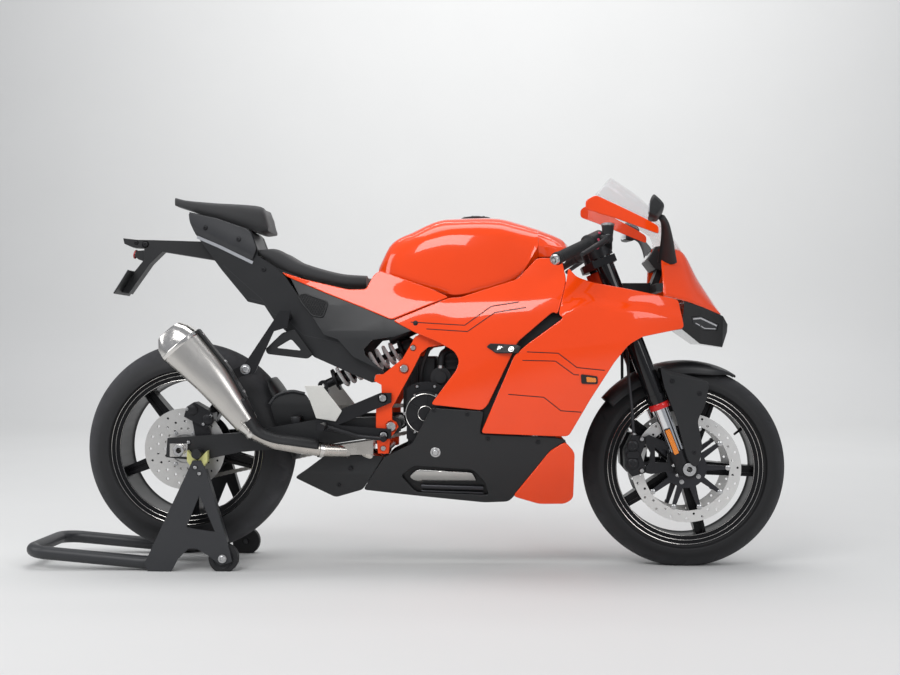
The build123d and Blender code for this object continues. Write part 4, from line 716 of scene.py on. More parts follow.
SOLID_FINISH = {
    # node: finish, edge break in millimetres
    "main_frame": ("cast_orange", 2.5), "swingarm": ("panel_black", 2.5), "rear_axle": ("polished", 1.2),
    "rear_caliper": ("black_metal", 2.0), "engine": ("engine_black", 3.0),
    "engine_covers": ("black_metal", 3.0), "radiator": ("fins", 1.0), "exhaust": ("pipe", 0),
    "silencer_shield": ("satin_black", 1.5), "headlamp": ("dark_gloss", 2.0),
    "headlamp_lenses": ("smoked", 0.6), "fuel_cap": ("black_metal", 2.0), "tail_unit": ("panel_black", 2.0),
    "tail_light": ("red_lens", 1.5), "plate_holder": ("satin_black", 1.2), "rear_shock": ("black_metal", 0),
    "hugger": ("satin_black", 0.8), "foot_brackets": ("black_metal", 1.5), "heel_plates": ("alloy", 1.0),
    "foot_pegs": ("black_metal", 1.0), "dash": ("satin_black", 1.5), "paddock_stand": ("stand_grey", 1.0),
    "stand_hooks": ("hook", 1.5), "yokes": ("black_metal", 2.0), "fork_legs": ("dark_gloss", 1.0),
    "fork_sliders": ("chrome", 0.5), "fork_feet": ("black_metal", 2.0), "front_axle": ("bolt", 0.8),
    "clip_ons": ("black_metal", 1.0), "hand_controls": ("satin_black", 1.2),
    "front_calipers": ("black_metal", 2.5), "brake_hoses": ("braid", 0), "front_rim": ("rim_black", 2.2),
    "front_discs": ("front_disc", 0.3), "front_disc_carriers": ("hard_coat", 1.0),
    "rear_rim": ("rim_black", 2.2), "rear_disc": ("rear_disc", 0.3), "rear_sprocket": ("hard_coat", 0.6),
    "side_stand": ("black_metal", 1.0), "stand_roller_right": ("rubber", 2.0),
    "stand_roller_left": ("rubber", 2.0), "chain": ("chain_steel", 0),
    "belly_pans": ("panel_black", 1.0), "deflectors": ("paint", 1.0), "front_fairings": ("paint", 1.0),
    "rear_fairings": ("paint", 1.0), "side_panels": ("paint", 1.0), "nose_cowl": ("paint", 1.0),
    "fuel_tank": ("paint", 1.0), "tank_cover": ("paint", 1.0), "windscreen": ("clear", 0),
    "screen_strips": ("paint", 1.0), "front_mudguard": ("panel_black", 1.0), "silencer": ("brushed", 1.0),
    "grips": ("rubber", 1.0), "mirrors": ("satin_black", 1.0), "front_tyre": ("front_rubber", 0),
    "rear_tyre": ("rear_rubber", 0), "rider_seat": ("seat", 0), "pillion_seat": ("seat", 0),
}


# Body surfaces, in millimetres

SKIN_Z = (190, 300, 400, 480, 600, 700, 780, 860, 950)
SKIN = (
    # x, half widths at the heights above
    (-400, (40, 80, 108, 116, 116, 114, 112, 104, 96)),
    (-290, (70, 110, 136, 150, 150, 138, 128, 112, 100)),
    (-60, (96, 146, 172, 180, 180, 172, 150, 122, 100)),
    (80, (106, 158, 186, 194, 196, 192, 176, 134, 110)),
    (160, (110, 164, 192, 202, 206, 203, 184, 142, 116)),
    (330, (112, 170, 202, 217, 226, 226, 212, 170, 140)),
    (450, (102, 166, 204, 222, 235, 237, 226, 190, 140)),
    (560, (86, 150, 196, 218, 235, 239, 230, 200, 150)),
    (660, (70, 130, 180, 206, 228, 234, 226, 196, 150)),
    (760, (50, 100, 150, 176, 198, 206, 198, 166, 130)),
    (840, (40, 80, 120, 140, 158, 166, 158, 132, 100)),
)
SKIN_X = [row[0] for row in SKIN]
SHOULDER_X = (268, 333, 446, 519, 614, 698, 791)
SHOULDER_Z = (640, 676, 758, 790, 776, 766, 752)


def body_half(x, z):
    """Half width of the body skin."""
    return smooth(SKIN_X, [smooth(SKIN_Z, row[1], z) for row in SKIN], x)


def front_half(x, z):
    """Half width of the front fairing, which stands proud under its shoulder line."""
    shoulder = smooth(SHOULDER_X, SHOULDER_Z, x)
    return body_half(x, z) + 12.5 * ease((shoulder - z) / 34.0 + 0.35) + 1.0


REAR_FAIRING = [
    (-34, 731), (34, 695), (94, 671), (146, 642), (160, 617), (154, 591), (78, 489), (226, 473),
    (242, 489), (309, 630), (326, 668), (426, 754), (439.6, 746.2), (465.6, 846), (454, 912),
    (384, 912), (326, 850), (162, 798), (132, 797.5)]
FRONT_FAIRING = [
    (222, 408), (438, 400), (471, 400), (530, 504), (598, 611), (637, 659), (676, 682), (800, 707),
    (786, 790), (752, 797), (536, 839), (494, 856), (472, 884), (466.4, 846), (440.4, 745.8),
    (455, 736), (354, 662), (317, 630)]
SIDE_PANEL = [
    (-368, 877), (-300, 855), (-168, 824), (-116, 824), (-94, 866), (-76, 880), (76, 825),
    (129, 799), (-37, 733), (-115, 766), (-232, 812), (-355, 864)]
BELLY = [
    (-125, 235), (32, 219), (231, 200), (302, 203), (384, 292), (468, 388), (432, 397), (219, 405),
    (231, 471), (80, 480), (24, 376), (-58, 337)]
BELLY_SLOT = [(-11, 280), (29, 311), (199, 300), (231, 266), (245, 223), (32, 230)]
TAIL_PAN = [(-287, 299), (-232, 340), (-58.6, 337.4), (-125.6, 235.4), (-208, 210), (-330, 268)]
DEFLECTOR = [(419, 357), (462, 384), (490, 352), (490, 212), (467, 196), (391, 196), (314, 220)]


# Stage


# Floor and wall in section, as y and z in metres
FLOOR_PATH = ((-14.0, 0.0), (5.4, 0.0), (6.4, 0.06), (7.2, 0.5), (7.6, 1.4), (7.7, 14.0))
FLOOR_HALF = 24.0
SKY = (0.9, 0.93, 1.0, 1.0)
SKY_STRENGTH = 0.4
LAMPS = (
    # name, place, aim, size across and up, watts
    ("key", (-1.6, -3.4, 3.4), (-0.1, 0.0, 0.6), (2.6, 1.6), 88.0),
    ("fill", (2.6, -3.0, 2.2), (0.4, 0.0, 0.5), (1.8, 1.8), 34.0),
    ("top", (0.0, 0.4, 3.9), (0.0, 0.0, 0.5), (3.6, 1.4), 52.0),
    ("side", (-3.8, -0.6, 2.2), (-0.4, 0.0, 0.6), (1.4, 1.8), 30.0),
    ("wall", (0.3, 3.4, 5.6), (0.3, 7.6, 1.6), (7.0, 1.0), 260.0))
CAMERA_PLACE = (0.2657, -3.684, 0.6313)
CAMERA_TURN = (math.radians(90.819), 0.0, math.radians(2.165))
CAMERA_LENS = 48.8
SENSOR_WIDTH = 36.0


def make_floor(colours):
    f = Finish("backdrop", {"Roughness": 0.9, "Specular IOR Level": 0.15})
    cloud = f.noise(1.3, 4.0)
    f.tone(cloud, colours.backdrop, 0.96, 1.0)
    mesh = bpy.data.meshes.new("floor")
    points = [(x, y, z) for y, z in FLOOR_PATH for x in (-FLOOR_HALF, FLOOR_HALF)]
    faces = [(2 * k, 2 * k + 1, 2 * k + 3, 2 * k + 2) for k in range(len(FLOOR_PATH) - 1)]
    mesh.from_pydata(points, [], faces)
    mesh.polygons.foreach_set("use_smooth", [True] * len(mesh.polygons))
    floor = bpy.data.objects.new("floor", mesh)
    bpy.context.scene.collection.objects.link(floor)
    mesh.materials.append(f.material)
    cove = floor.modifiers.new("Cove", "SUBSURF")
    cove.levels = cove.render_levels = 3


def make_lights():
    world = bpy.data.worlds.new("studio")
    bpy.context.scene.world = world
    world.use_nodes = True
    sky = world.node_tree.nodes["Background"].inputs
    sky[0].default_value = SKY
    sky[1].default_value = SKY_STRENGTH
    for name, place, aim, size, watts in LAMPS:
        lamp = bpy.data.lights.new(name, "AREA")
        lamp.shape = "RECTANGLE"
        lamp.size, lamp.size_y = size
        lamp.energy = watts
        holder = bpy.data.objects.new(name, lamp)
        holder.location = place
        holder.rotation_euler = (Vector(aim) - Vector(place)).to_track_quat("-Z", "Y").to_euler()
        bpy.context.scene.collection.objects.link(holder)


def make_camera():
    view = bpy.data.cameras.new("camera")
    view.sensor_width = SENSOR_WIDTH
    view.sensor_fit = "HORIZONTAL"
    view.lens = CAMERA_LENS
    camera = bpy.data.objects.new("camera", view)
    camera.location = CAMERA_PLACE
    camera.rotation_euler = CAMERA_TURN
    bpy.context.scene.collection.objects.link(camera)
    bpy.context.scene.camera = camera
    bpy.context.scene.view_settings.view_transform = "Standard"


# Smooth skins through rows of sections


def between(rows, count):
    """Sections spread evenly along rows of (place, points)."""
    places = [row[0] for row in rows]
    result = []
    for k in range(count + 1):
        at = places[0] + (places[-1] - places[0]) * k / count
        ring = []
        for j in range(len(rows[0][1])):
            ring.append(tuple(
                smooth(places, [row[1][j][c] for row in rows], at) for c in range(len(rows[0][1][0]))))
        result.append((at, ring))
    return result


def curve(points, per=6, breaks=()):
    """Smooth line through points, which may turn sharply at the breaks."""
    cuts = [0, *breaks, len(points) - 1]
    line = []
    for a, b in zip(cuts, cuts[1:]):
        part = points[a:b + 1]
        run = [0.0]
        for p, q in zip(part, part[1:]):
            run.append(run[-1] + max(0.01, math.dist(p, q)))
        for k in range(per * (b - a)):
            at = run[-1] * k / (per * (b - a))
            line.append(tuple(smooth(run, [p[c] for p in part], at) for c in range(len(part[0]))))
    return line + [tuple(points[-1])]


def open_skin(rings):
    """Sheet through rows of points."""
    return Shape().loft(rings, cap=False, closed=False)


def hull(rows, count, per=6, breaks=(), closed=True):
    """Both halves of a skin from right-hand sections of (y, z) along x."""
    rings = []
    for x, ring in between(rows, count):
        right = [(x, y, z) for y, z in curve(ring, per, breaks)]
        left = [(x, -y, z) for x, y, z in right[-2::-1]]
        rings.append(right + left)
    return Shape().loft(rings, cap=closed, closed=closed)


def thicken(piece, wall, offset=-1.0):
    """Give an open skin a wall."""
    thick = piece.modifiers.new("Wall", "SOLIDIFY")
    thick.thickness = wall * MM
    thick.offset = offset
    thick.use_even_offset = False


TANK = (
    # x, heights of floor, waist, shoulder and top, then their half widths
    (-84, 852, 874, 886, 896, 54, 62, 54, 38), (-48, 815, 868, 930, 960, 76, 96, 80, 50),
    (20, 790, 849, 956, 996, 96, 122, 106, 60), (93, 790, 824, 976, 1027, 112, 138, 124, 68),
    (150, 790, 806, 986, 1033, 126, 150, 134, 72), (272, 790, 838, 986, 1033, 134, 158, 138, 74),
    (340, 842, 872, 974, 1016, 134, 152, 132, 74), (388, 916, 948, 976, 1002, 126, 140, 122, 72))
TANK_COVER = (
    (388.6, 917, 948, 976, 1002, 126, 140, 122, 72), (458, 917, 944, 958, 974, 140, 126, 102, 66),
    (478, 917, 934, 944, 956, 128, 114, 92, 58))
NOSE = (
    # x, low and high edge, half widths there
    (742, 800, 936, 200, 134), (812, 786, 932, 162, 88), (862, 772, 852, 122, 64), (928, 750, 758, 56, 42))
SCREEN = (
    # x, z and half width of the edge, x and z of the middle
    (556, 1100, 112, 610, 1163.5), (650, 1052, 136, 716, 1080), (742, 1002, 142, 810, 942),
    (752, 937, 126, 816, 936))
STRIP = [
    (527, 1083), (556, 1099), (706, 1021), (735, 1003), (735, 980), (657, 1011), (608, 1030), (527, 1058)]
STRIP_X = (500, 560, 650, 760)
STRIP_HALF = ((107, 110), (114, 116), (140, 138), (155, 145))
FILLER = Vector((206, 0, 1040))


def tank_rows(table, crown):
    """Right-hand sections of the tank."""
    return [
        (x, [(-fw, f), (-ww, w), (-sw, s), (-tw, t), (0, t + crown)])
        for x, f, w, s, t, fw, ww, sw, tw in table]


def strip_half(x, z):
    """Half width of the strips beside the screen."""
    return smooth(STRIP_X, [smooth((930, 1110), ends, z) for ends in STRIP_HALF], x)


def nose_section(low, high, low_half, high_half):
    """Right-hand section of the nose."""
    return [
        (-low_half, low), (-(0.6 * low_half + 0.4 * high_half) - 5, 0.55 * low + 0.45 * high),
        (-high_half, high - 3), (-0.55 * high_half, high + 5), (0, high + 9)]


def proud(half, lift):
    """Half width that stands out from another, or in if below zero."""
    return lambda x, z: half(x, z) + lift


def make_bodywork(sizes):
    edge, wall = sizes.panel_edge / MM, sizes.panel_wall / MM
    for name, node, outline, half, round_edge, corner, pitch in (
            ("rear_fairing_skins", "rear_fairings", REAR_FAIRING, body_half, edge, 12.0, 14.0),
            ("front_fairing_skins", "front_fairings", FRONT_FAIRING, front_half, edge, 12.0, 14.0),
            ("side_panel_skins", "side_panels", SIDE_PANEL, body_half, edge, 9.0, 14.0),
            ("screen_strip_skins", "screen_strips", STRIP, strip_half, 2.0, 10.0, 10.0),
            ("deflector_skins", "deflectors", DEFLECTOR, proud(body_half, 5.0), edge, 12.0, 14.0)):
        shape = panel(Shape(), outline, half, round_edge, wall, corner, (), pitch).mirrored()
        make(name, shape, "paint", "chassis", (node,))
    tank = hull(tank_rows(TANK, 4.0), 46, 7, (1,))
    make("tank_skin", tank, "paint", "chassis", ("fuel_tank",), 50.0)
    profile = [(0, 10), (15, 10), (17, 8), (25, 8), (27, 6), (41, 6), (46, 3), (46, -9)]
    cap = Shape().lathe(profile, FILLER, UP, 64)
    for x, y in around(6, (FILLER.x, FILLER.y), 34, 0.2):
        cap.bolt((x, y, FILLER.z + 6), UP, 3.4, 2.0)
    make("filler_cap", cap, "black_metal", "chassis", ("fuel_cap",))
    cover = hull(tank_rows(TANK_COVER, 3.0), 12, 7, (1,))
    make("tank_cover_skin", cover, "paint", "chassis", ("tank_cover",), 50.0)
    nose = hull([(x, nose_section(*row)) for x, *row in NOSE], 26, 6, (), False)
    thicken(make("nose_skin", nose, "paint", "chassis", ("nose_cowl",), 50.0), 4.0)
    rings = []
    for k in range(31):
        edge_x, edge_z, half, middle_x, middle_z = along_rows(SCREEN, 3 * k / 30)
        ring = []
        for j in range(33):
            turn = math.pi * j / 32
            rise = math.sin(turn) ** 0.9
            ring.append((
                edge_x + (middle_x - edge_x) * rise, -half * math.cos(turn),
                edge_z + (middle_z - edge_z) * rise))
        rings.append(ring)
    screen = make("screen_sheet", open_skin(rings), "clear", "chassis", ("windscreen",))
    thicken(screen, 3.0, 0.0)


def pan_half(x, z):
    """Half width of the tail pan, whose upper facet leans in."""
    return body_half(x, z) - 0.3 * max(0.0, z - 284 + 0.03 * (x + 200))


def shield_half(x, z):
    """Half width of the collector's shield, which is round about its middle line."""
    return body_half(x, z) - 2.0 - 8.0 * ((z - 284.0) / 20.0) ** 2


def make_underbody(sizes):
    edge, wall = sizes.panel_edge / MM, sizes.panel_wall / MM
    shape = panel(Shape(), BELLY, body_half, edge, wall, 12.0, (BELLY_SLOT,))
    panel(shape, TAIL_PAN, pan_half, edge, wall, 10.0)
    make("belly_skins", shape.mirrored(), "panel_black", "chassis", ("belly_pans",))
    # Dark sheet behind the belly slot, darker than the pan, that paints the shade inside the slot
    outline = [(-20, 280), (26, 320), (204, 308), (242, 266), (252, 216), (24, 222)]
    backing = panel(Shape(), outline, proud(body_half, -11.0), 1.0, 3.0, 6.0)
    make("slot_backing", backing.mirrored(), "shade_and_stripe_black", "chassis")
    outline = [(12, 276), (36, 300), (196, 292), (210, 262), (60, 262), (30, 262)]
    shield = panel(Shape(), outline, shield_half, 2.0, 3.0, 10.0, (), 6.0)
    make("collector_shields", shield.mirrored(), "shield_steel", "chassis")
    tube = Shape()
    for z, radius in ((250.0, 7.0), (235.0, 4.0)):
        tube.sweep([(x, 9.0 - body_half(x, z), z - 0.02 * x) for x in range(48, 232, 12)], radius, 14)
    make("collector_rails", tube.mirrored(), "hard_coat", "chassis")


TAIL_X = (-690, -560, -440, -300, -180, 0)
TAIL_HALF = ((54, 54), (84, 84), (100, 104), (112, 122), (122, 138), (134, 146))


def tail_half(x, z):
    """Half width of the tail's side walls."""
    return smooth(TAIL_X, [half[1] + (half[0] - half[1]) * (z - 500) / 600 for half in TAIL_HALF], x)


def cushion_rows(table, dish, tuck):
    """Seat sections: x, low, high, half width; flat below and dished on top."""
    rows = []
    for x, low, high, half in table:
        tall = high - low
        rows.append((x, [
            (-half * tuck, low), (-half * 0.985, low + 0.22 * tall), (-half, low + 0.5 * tall),
            (-half * 0.95, high - 0.18 * tall), (-half * 0.74, high - 0.01 * tall),
            (-half * 0.36, high - dish * 0.6), (0, high - dish)]))
    return rows


RIDER_SEAT = (
    (-437, 927, 946, 86), (-384, 891, 946, 96), (-311, 862, 907, 106), (-198, 834, 874, 104),
    (-118, 828, 867, 92))
PILLION = (
    (-706, 1084, 1108, 30), (-672, 1073, 1099, 44), (-597, 1048, 1090, 64), (-566, 1040.8, 1087, 72),
    (-522, 1025.4, 1084, 80), (-470, 1006.8, 1080, 84), (-443, 998, 1076, 84), (-427, 999, 1066, 83),
    (-413, 1001, 1014, 80))


def make_seats():
    seat = hull(cushion_rows(RIDER_SEAT, 7.0, 0.86), 40, 5)
    piece = make("rider_cushion", seat, "seat", "chassis", ("rider_seat",), 60.0)
    pad = hull(cushion_rows(PILLION, 3.0, 0.9), 34, 5)
    piece = make("pillion_cushion", pad, "seat", "chassis", ("pillion_seat",), 60.0)


# Wheels

TYRE_STEPS = 600
TREAD_PITCHES = 18
TREAD_GAP = 3.4
RIDGES = {2: 0.9, 5: 0.7, 8: 0.8}
SLASHES = (
    # from and to as shares of the half width, slant, start in the pitch
    (0.16, 0.62, 0.9, 0.0), (0.5, 0.88, -0.55, 0.45), (0.06, 0.3, 0.5, 0.55))


def groove(turn, y, half, radius):
    """Share of the tread's depth that is cut away at a spot."""
    lean = abs(y) / half
    dip = 0.0
    for first, last, slant, share in SLASHES:
        if first < lean < last:
            place = turn * TREAD_PITCHES / (2 * math.pi) + slant * lean + share + (0.5 if y > 0 else 0.0)
            gap = abs(place % 1.0 - 0.5) * 2 * math.pi * radius / TREAD_PITCHES
            taper = min(1.0, (lean - first) * 9, (last - lean) * 9)
            dip = max(dip, ease((TREAD_GAP * taper - gap) / 1.6))
    return dip


def tyre_shape(at, radius, width, bead_r, bead_half, depth):
    """Tyre with slanted grooves in the tread and ridges on the walls."""
    half = width / 2
    shoulder = radius - 0.78 * half
    rise = radius - shoulder
    wall = curve([
        (bead_r, bead_half - 3), (bead_r + 14, bead_half + 3), (bead_r + 20, bead_half + 8),
        (shoulder - 14, half - 1.2), (shoulder, half)], 4)
    crown = []
    big = (half * half + rise * rise) / (2 * rise)
    limit = math.asin(half / big) if rise < half else math.pi - math.asin(half / big)
    for k in range(1, 31):
        turn = limit * (1 - k / 15.0)
        crown.append((radius - big + big * math.cos(turn), big * math.sin(turn)))
    profile = wall + crown[:-1] + [(r, -y) for r, y in wall[::-1]]
    count = len(profile)
    points, faces = [], []
    for k in range(TYRE_STEPS):
        turn = 2 * math.pi * k / TYRE_STEPS
        after = (k + 1) % TYRE_STEPS
        for j, (r, y) in enumerate(profile):
            if r > shoulder + 3:
                r -= groove(turn, y, half, radius) * depth
            y += math.copysign(RIDGES.get(min(j, count - 1 - j), 0.0), y)
            points.append((at[0] + r * math.cos(turn), at[1] + y, at[2] + r * math.sin(turn)))
        for j in range(count - 1):
            faces.append((k * count + j, k * count + j + 1, after * count + j + 1, after * count + j))
    return Shape().add(points, faces)


def make_tyres(sizes):
    depth = sizes.tread_depth / MM
    shape = tyre_shape(FRONT, 300, 120, 217, 41.5, depth)
    make("front_tyre_skin", shape, "front_rubber", "front_wheel", ("front_tyre",), 60.0)
    shape = tyre_shape(REAR, 315, 180, 217, 67, depth)
    make("rear_tyre_skin", shape, "rear_rubber", "rear_wheel", ("rear_tyre",), 60.0)


# Trim


def hoop(shape, at, axis, radius, wire, steps=72):
    """Ring of round wire."""
    circle = [
        (radius + wire * math.cos(math.pi * k / 4), wire * math.sin(math.pi * k / 4)) for k in range(8)]
    return shape.lathe(circle, at, axis, steps, closed=True)


def button(shape, at, axis, radius, height, steps=18):
    """Low round head with a chamfer."""
    profile = [(0, height), (radius * 0.72, height), (radius, height * 0.6), (radius, -height * 0.3)]
    return shape.lathe(profile, at, axis, steps)


def ribbon(shape, path, width, half, lift=0.4):
    """Flat line that follows a half width along an XZ path on the right."""
    line = dense(path, 7.0, False)
    points, normals = [], []
    for k, (x, z) in enumerate(line):
        ahead = Vector(line[min(k + 1, len(line) - 1)]) - Vector(line[max(k - 1, 0)])
        side = Vector((-ahead.y, ahead.x)).normalized() * width / 2
        for sign in (1, -1):
            px, pz = x + sign * side.x, z + sign * side.y
            points.append((px, -half(px, pz) - lift, pz))
            slope_x, slope_z = slopes(half, px, pz, 2)
            normals.append(Vector((-slope_x, -1, -slope_z)).normalized())
    faces = [(2 * k, 2 * k + 2, 2 * k + 3, 2 * k + 1) for k in range(len(line) - 1)]
    a, b, c = (Vector(points[j]) for j in faces[0][:3])
    if (b - a).cross(c - b).y > 0:
        faces = [face[::-1] for face in faces]
    return shape.add(points, faces, normals)


def on_skin(x, z, half, lift=0.0):
    """Point and outward direction on the right-hand skin."""
    slope_x, slope_z = slopes(half, x, z, 2)
    way = Vector((-slope_x, -1, -slope_z)).normalized()
    return Vector((x, -half(x, z), z)) + way * lift, way


RIM_LINES = (
    # radius, stand-out from the rim's edge, wire
    (228.0, 0.2, 1.2), (216.0, -1.9, 0.8), (203.0, -3.2, 0.7))
VALVE_TURN = math.radians(33)


def make_wheel_trim():
    for name, at, edge in (("front", FRONT, 47.5), ("rear", REAR, 73.0)):
        body = name + "_wheel"
        lips = Shape()
        for side in (-1, 1):
            for radius, out, wire in RIM_LINES:
                hoop(lips, (at[0], side * (edge + out), at[2]), LEFT, radius, wire, 120)
        make(name + "_rim_lines", lips, "polished", body)
        out = Vector((math.cos(VALVE_TURN), 0, math.sin(VALVE_TURN)))
        start = Vector(at) + out * 207 + Vector((0, -14, 0))
        inner = Vector(at) + out * 176 + Vector((0, -30, 0))
        line = [start, start.lerp(inner, 0.3), start.lerp(inner, 0.32), inner]
        stem = Shape().sweep(line, [5.5, 5.0, 3.6, 3.4])
        make(name + "_valve", stem, "black_metal", body)
    rivets = Shape()
    for side in (-1, 1):
        for x, z in around(10, FRONT, 121):
            button(rivets, (x, side * 70.8, z), (0, side, 0), 7.5, 3.0)
        for x, z in around(5, FRONT, 44, math.pi / 5):
            rivets.bolt((x, side * 71.0, z), (0, side, 0), 5.0, 4.0)
    make("front_disc_rivets", rivets, "bolt", "front_wheel")
    bolts = Shape()
    for x, z in around(6, REAR, 52):
        bolts.bolt((x, -101.2, z), RIGHT, 5.0, 4.0)
        bolts.bolt((x, 103.2, z), LEFT, 5.5, 4.0)
    make("rear_hub_bolts", bolts, "bolt", "rear_wheel")


RAKE = math.radians(21.0)
FORK_UP = Vector((-math.sin(RAKE), 0, math.cos(RAKE)))
FORK_AHEAD = Vector((math.cos(RAKE), 0, math.sin(RAKE)))


SEAL_RING = [(22.5, 0), (29.6, 0), (30.6, 2), (30.6, 14), (28.8, 17), (27.2, 17)]
FORK_CAP = [(0, 9), (9, 9), (11, 7), (11, 2), (22, 2), (25.5, 0), (25.5, -6)]
REFLECTOR_ALONG = 92.0


def fork(along, y, ahead=-12.0):
    """Place beside the front axle, measured along the fork."""
    return Vector((FRONT[0], y, FRONT[2])) + FORK_UP * along + FORK_AHEAD * ahead


def make_fork_trim():
    rings, caps, reflectors, pads, bolts = Shape(), Shape(), Shape(), Shape(), Shape()
    for side in (-1, 1):
        rings.lathe(SEAL_RING, fork(192, side * 105), FORK_UP, 40)
        caps.lathe(FORK_CAP, fork(705, side * 105), FORK_UP, 36)
        for shape, out, depth, wide, long in (
                (pads, 131, 5, 9.5, 42), (reflectors, 133.2, 2.4, 7.5, 38)):
            back, face = [], []
            for a, b in rounded([(-1, -1), (1, -1), (1, 1), (-1, 1)], 0.18, 3):
                spot = fork(REFLECTOR_ALONG + b * long, 0, -18 + a * wide)
                inner = fork(REFLECTOR_ALONG + b * long * 0.96, 0, -18 + a * wide * 0.9)
                back.append((spot.x, side * (out - depth), spot.z))
                face.append((inner.x, side * out, inner.z))
            shape.loft([back, face])
        pads.sweep([fork(62, side * 112, -18), fork(62, side * 130, -18)], 6.0)
        for along in (-4, 26):
            bolts.bolt(fork(along, side * 117, -37), -FORK_AHEAD, 5.0, 5.0)
        for along in (440, 452, 650):
            bolts.bolt(fork(along, side * 96, 23.5), FORK_AHEAD, 4.5, 4.0)
    make("fork_seal_rings", rings, "red_ring", "steering")
    make("fork_caps", caps, "black_metal", "steering")
    make("fork_reflector_pads", pads, "satin_black", "steering")
    make("fork_reflectors", reflectors, "amber", "steering")
    make("fork_bolts", bolts, "bolt", "steering")
    shape, pins = Shape(), Shape()
    profile = [(0, 4), (13, 4), (16, 2), (18, 0), (18, -3)]
    for side in (-1, 1):
        for x, z in ((664, 366), (664, 314)):
            shape.lathe(profile, (x, side * 104, z), (0, side, 0), 32)
            hoop(shape, (x, side * 108, z), LEFT, 9.0, 1.0, 28)
        rib = [(648, 350), (682, 352), (686, 340), (682, 328), (648, 330), (644, 340)]
        shape.slab(rounded(rib, 5, 3), side * 103.5, side * 109, 1.6)
        for x, z in ((690, 386), (690, 294)):
            pins.bolt((x, side * 104, z), (0, side, 0), 6.0, 5.0)
        pins.bolt((668, side * 97, 399), UP, 6.5, 5.0)
    make("front_caliper_caps", shape, "black_metal", "steering")
    make("front_caliper_bolts", pins, "bolt", "steering")


COVER = [
    (738, 600), (765, 576), (882, 554), (870, 490), (846, 442), (860, 370), (850, 318), (836, 306),
    (816, 330), (784, 452), (750, 540)]
BRACE = [(740, 596), (866, 560), (850, 520), (754, 550)]
MUDGUARD = (
    # angle, radius, half width, side depth
    (60.0, 312, 20, 4), (66.0, 314, 46, 16), (74.0, 315, 64, 32), (86.0, 315, 72, 40),
    (110.0, 315, 73, 42), (128.0, 315, 73, 40), (140.0, 315, 70, 36))
HUGGER = (
    # angle, half width, side depth
    (-6.0, 60, 10), (4.0, 80, 24), (20.0, 85, 28), (34.0, 84, 24), (40.0, 70, 14))
HUGGER_R = 325.0
HUGGER_SIDE = [
    (-404, 484), (-384, 512), (-340, 526), (-300, 520), (-272, 476), (-262, 430), (-264, 402),
    (-330, 398), (-380, 408)]


def guard_skin(at, rows, count, section):
    """Open skin round a wheel from right-hand sections of (y, radius) by angle."""
    rings = []
    for k in range(count + 1):
        angle = rows[0][0] + (rows[-1][0] - rows[0][0]) * k / count
        right = curve(section(*read(rows, angle)), 5)
        left = [(-y, r) for y, r in right[-2::-1]]
        turn = math.radians(angle)
        rings.append([(at[0] + r * math.cos(turn), y, at[2] + r * math.sin(turn)) for y, r in right + left])
    return open_skin(rings)


def mudguard_section(radius, half, drop):
    return [
        (-half, radius - drop), (-half * 0.93, radius - drop * 0.42), (-half * 0.66, radius - 5),
        (-half * 0.3, radius), (0, radius + 1.2)]


def hugger_section(half, drop):
    return [
        (-half, HUGGER_R - drop), (-half * 0.9, HUGGER_R - drop * 0.5), (-half * 0.6, HUGGER_R - 3),
        (0, HUGGER_R)]


def hugger_half(x, z):
    """Distance of the hugger's side wall from the middle plane."""
    return 88.0 + 6.0 * ease((z - 400) / 60) - 5.0 * ease((z - 480) / 50)


def make_mudguard():
    guard = guard_skin(FRONT, MUDGUARD, 40, mudguard_section)
    node = ("front_mudguard",)
    piece = make("mudguard_skin", guard, "panel_black", "steering", node, 60.0)
    thicken(piece, 3.0)
    cover = panel(Shape(), COVER, lambda x, z: 140.0 - 0.02 * max(0, z - 440), 2.2, 4.0, 14.0)
    make("mudguard_covers", cover.mirrored(), "panel_black", "steering")
    brace = Shape().slab(rounded(BRACE, 6, 3), -137, -66, 2.0).mirrored()
    make("mudguard_braces", brace, "satin_black", "steering")
    bolts = Shape()
    for x, z in ((852, 520), (836, 350), (774, 556)):
        bolts.bolt((x, -139.6, z), RIGHT, 5.0, 3.5)
    make("mudguard_bolts", bolts.mirrored(), "black_metal", "steering")


def make_hugger():
    skin = guard_skin(REAR, HUGGER, 24, hugger_section)
    guard = make("hugger_skin", skin, "satin_black", "chassis", ("hugger",), 60.0)
    thicken(guard, 3.0, 1.0)
    side = panel(Shape(), HUGGER_SIDE, hugger_half, 2.5, 4.0, 16.0)
    make("hugger_side", side, "satin_black", "chassis")
    lip = [(x, -92.5, z) for x, z in curve([(-404, 486), (-384, 511), (-340, 524), (-300, 517)], 6)]
    make("hugger_lip", Shape().sweep(lip, 4.5, 10), "graphite", "chassis")
    tab = Shape().slab([(-330, 415), (-310, 415), (-306, 452), (-334, 452)], -136, -86, 2.0)
    make("hugger_tab", tab, "black_metal", "chassis")
    pads = Shape()
    profile = [(0, 4), (12, 4), (15, 2), (17, 0), (17, -3)]
    for dx, dz in ((30, 116), (76, 88)):
        pads.lathe(profile, (REAR[0] + dx, -130, REAR[2] + dz), RIGHT, 32)
    make("rear_caliper_caps", pads, "black_metal", "chassis")
    pins = Shape()
    for dx, dz in ((14, 118), (84, 98), (62, 74)):
        pins.bolt((REAR[0] + dx, -130, REAR[2] + dz), RIGHT, 4.5, 4.0)
    make("rear_caliper_bolts", pins, "bolt", "chassis")


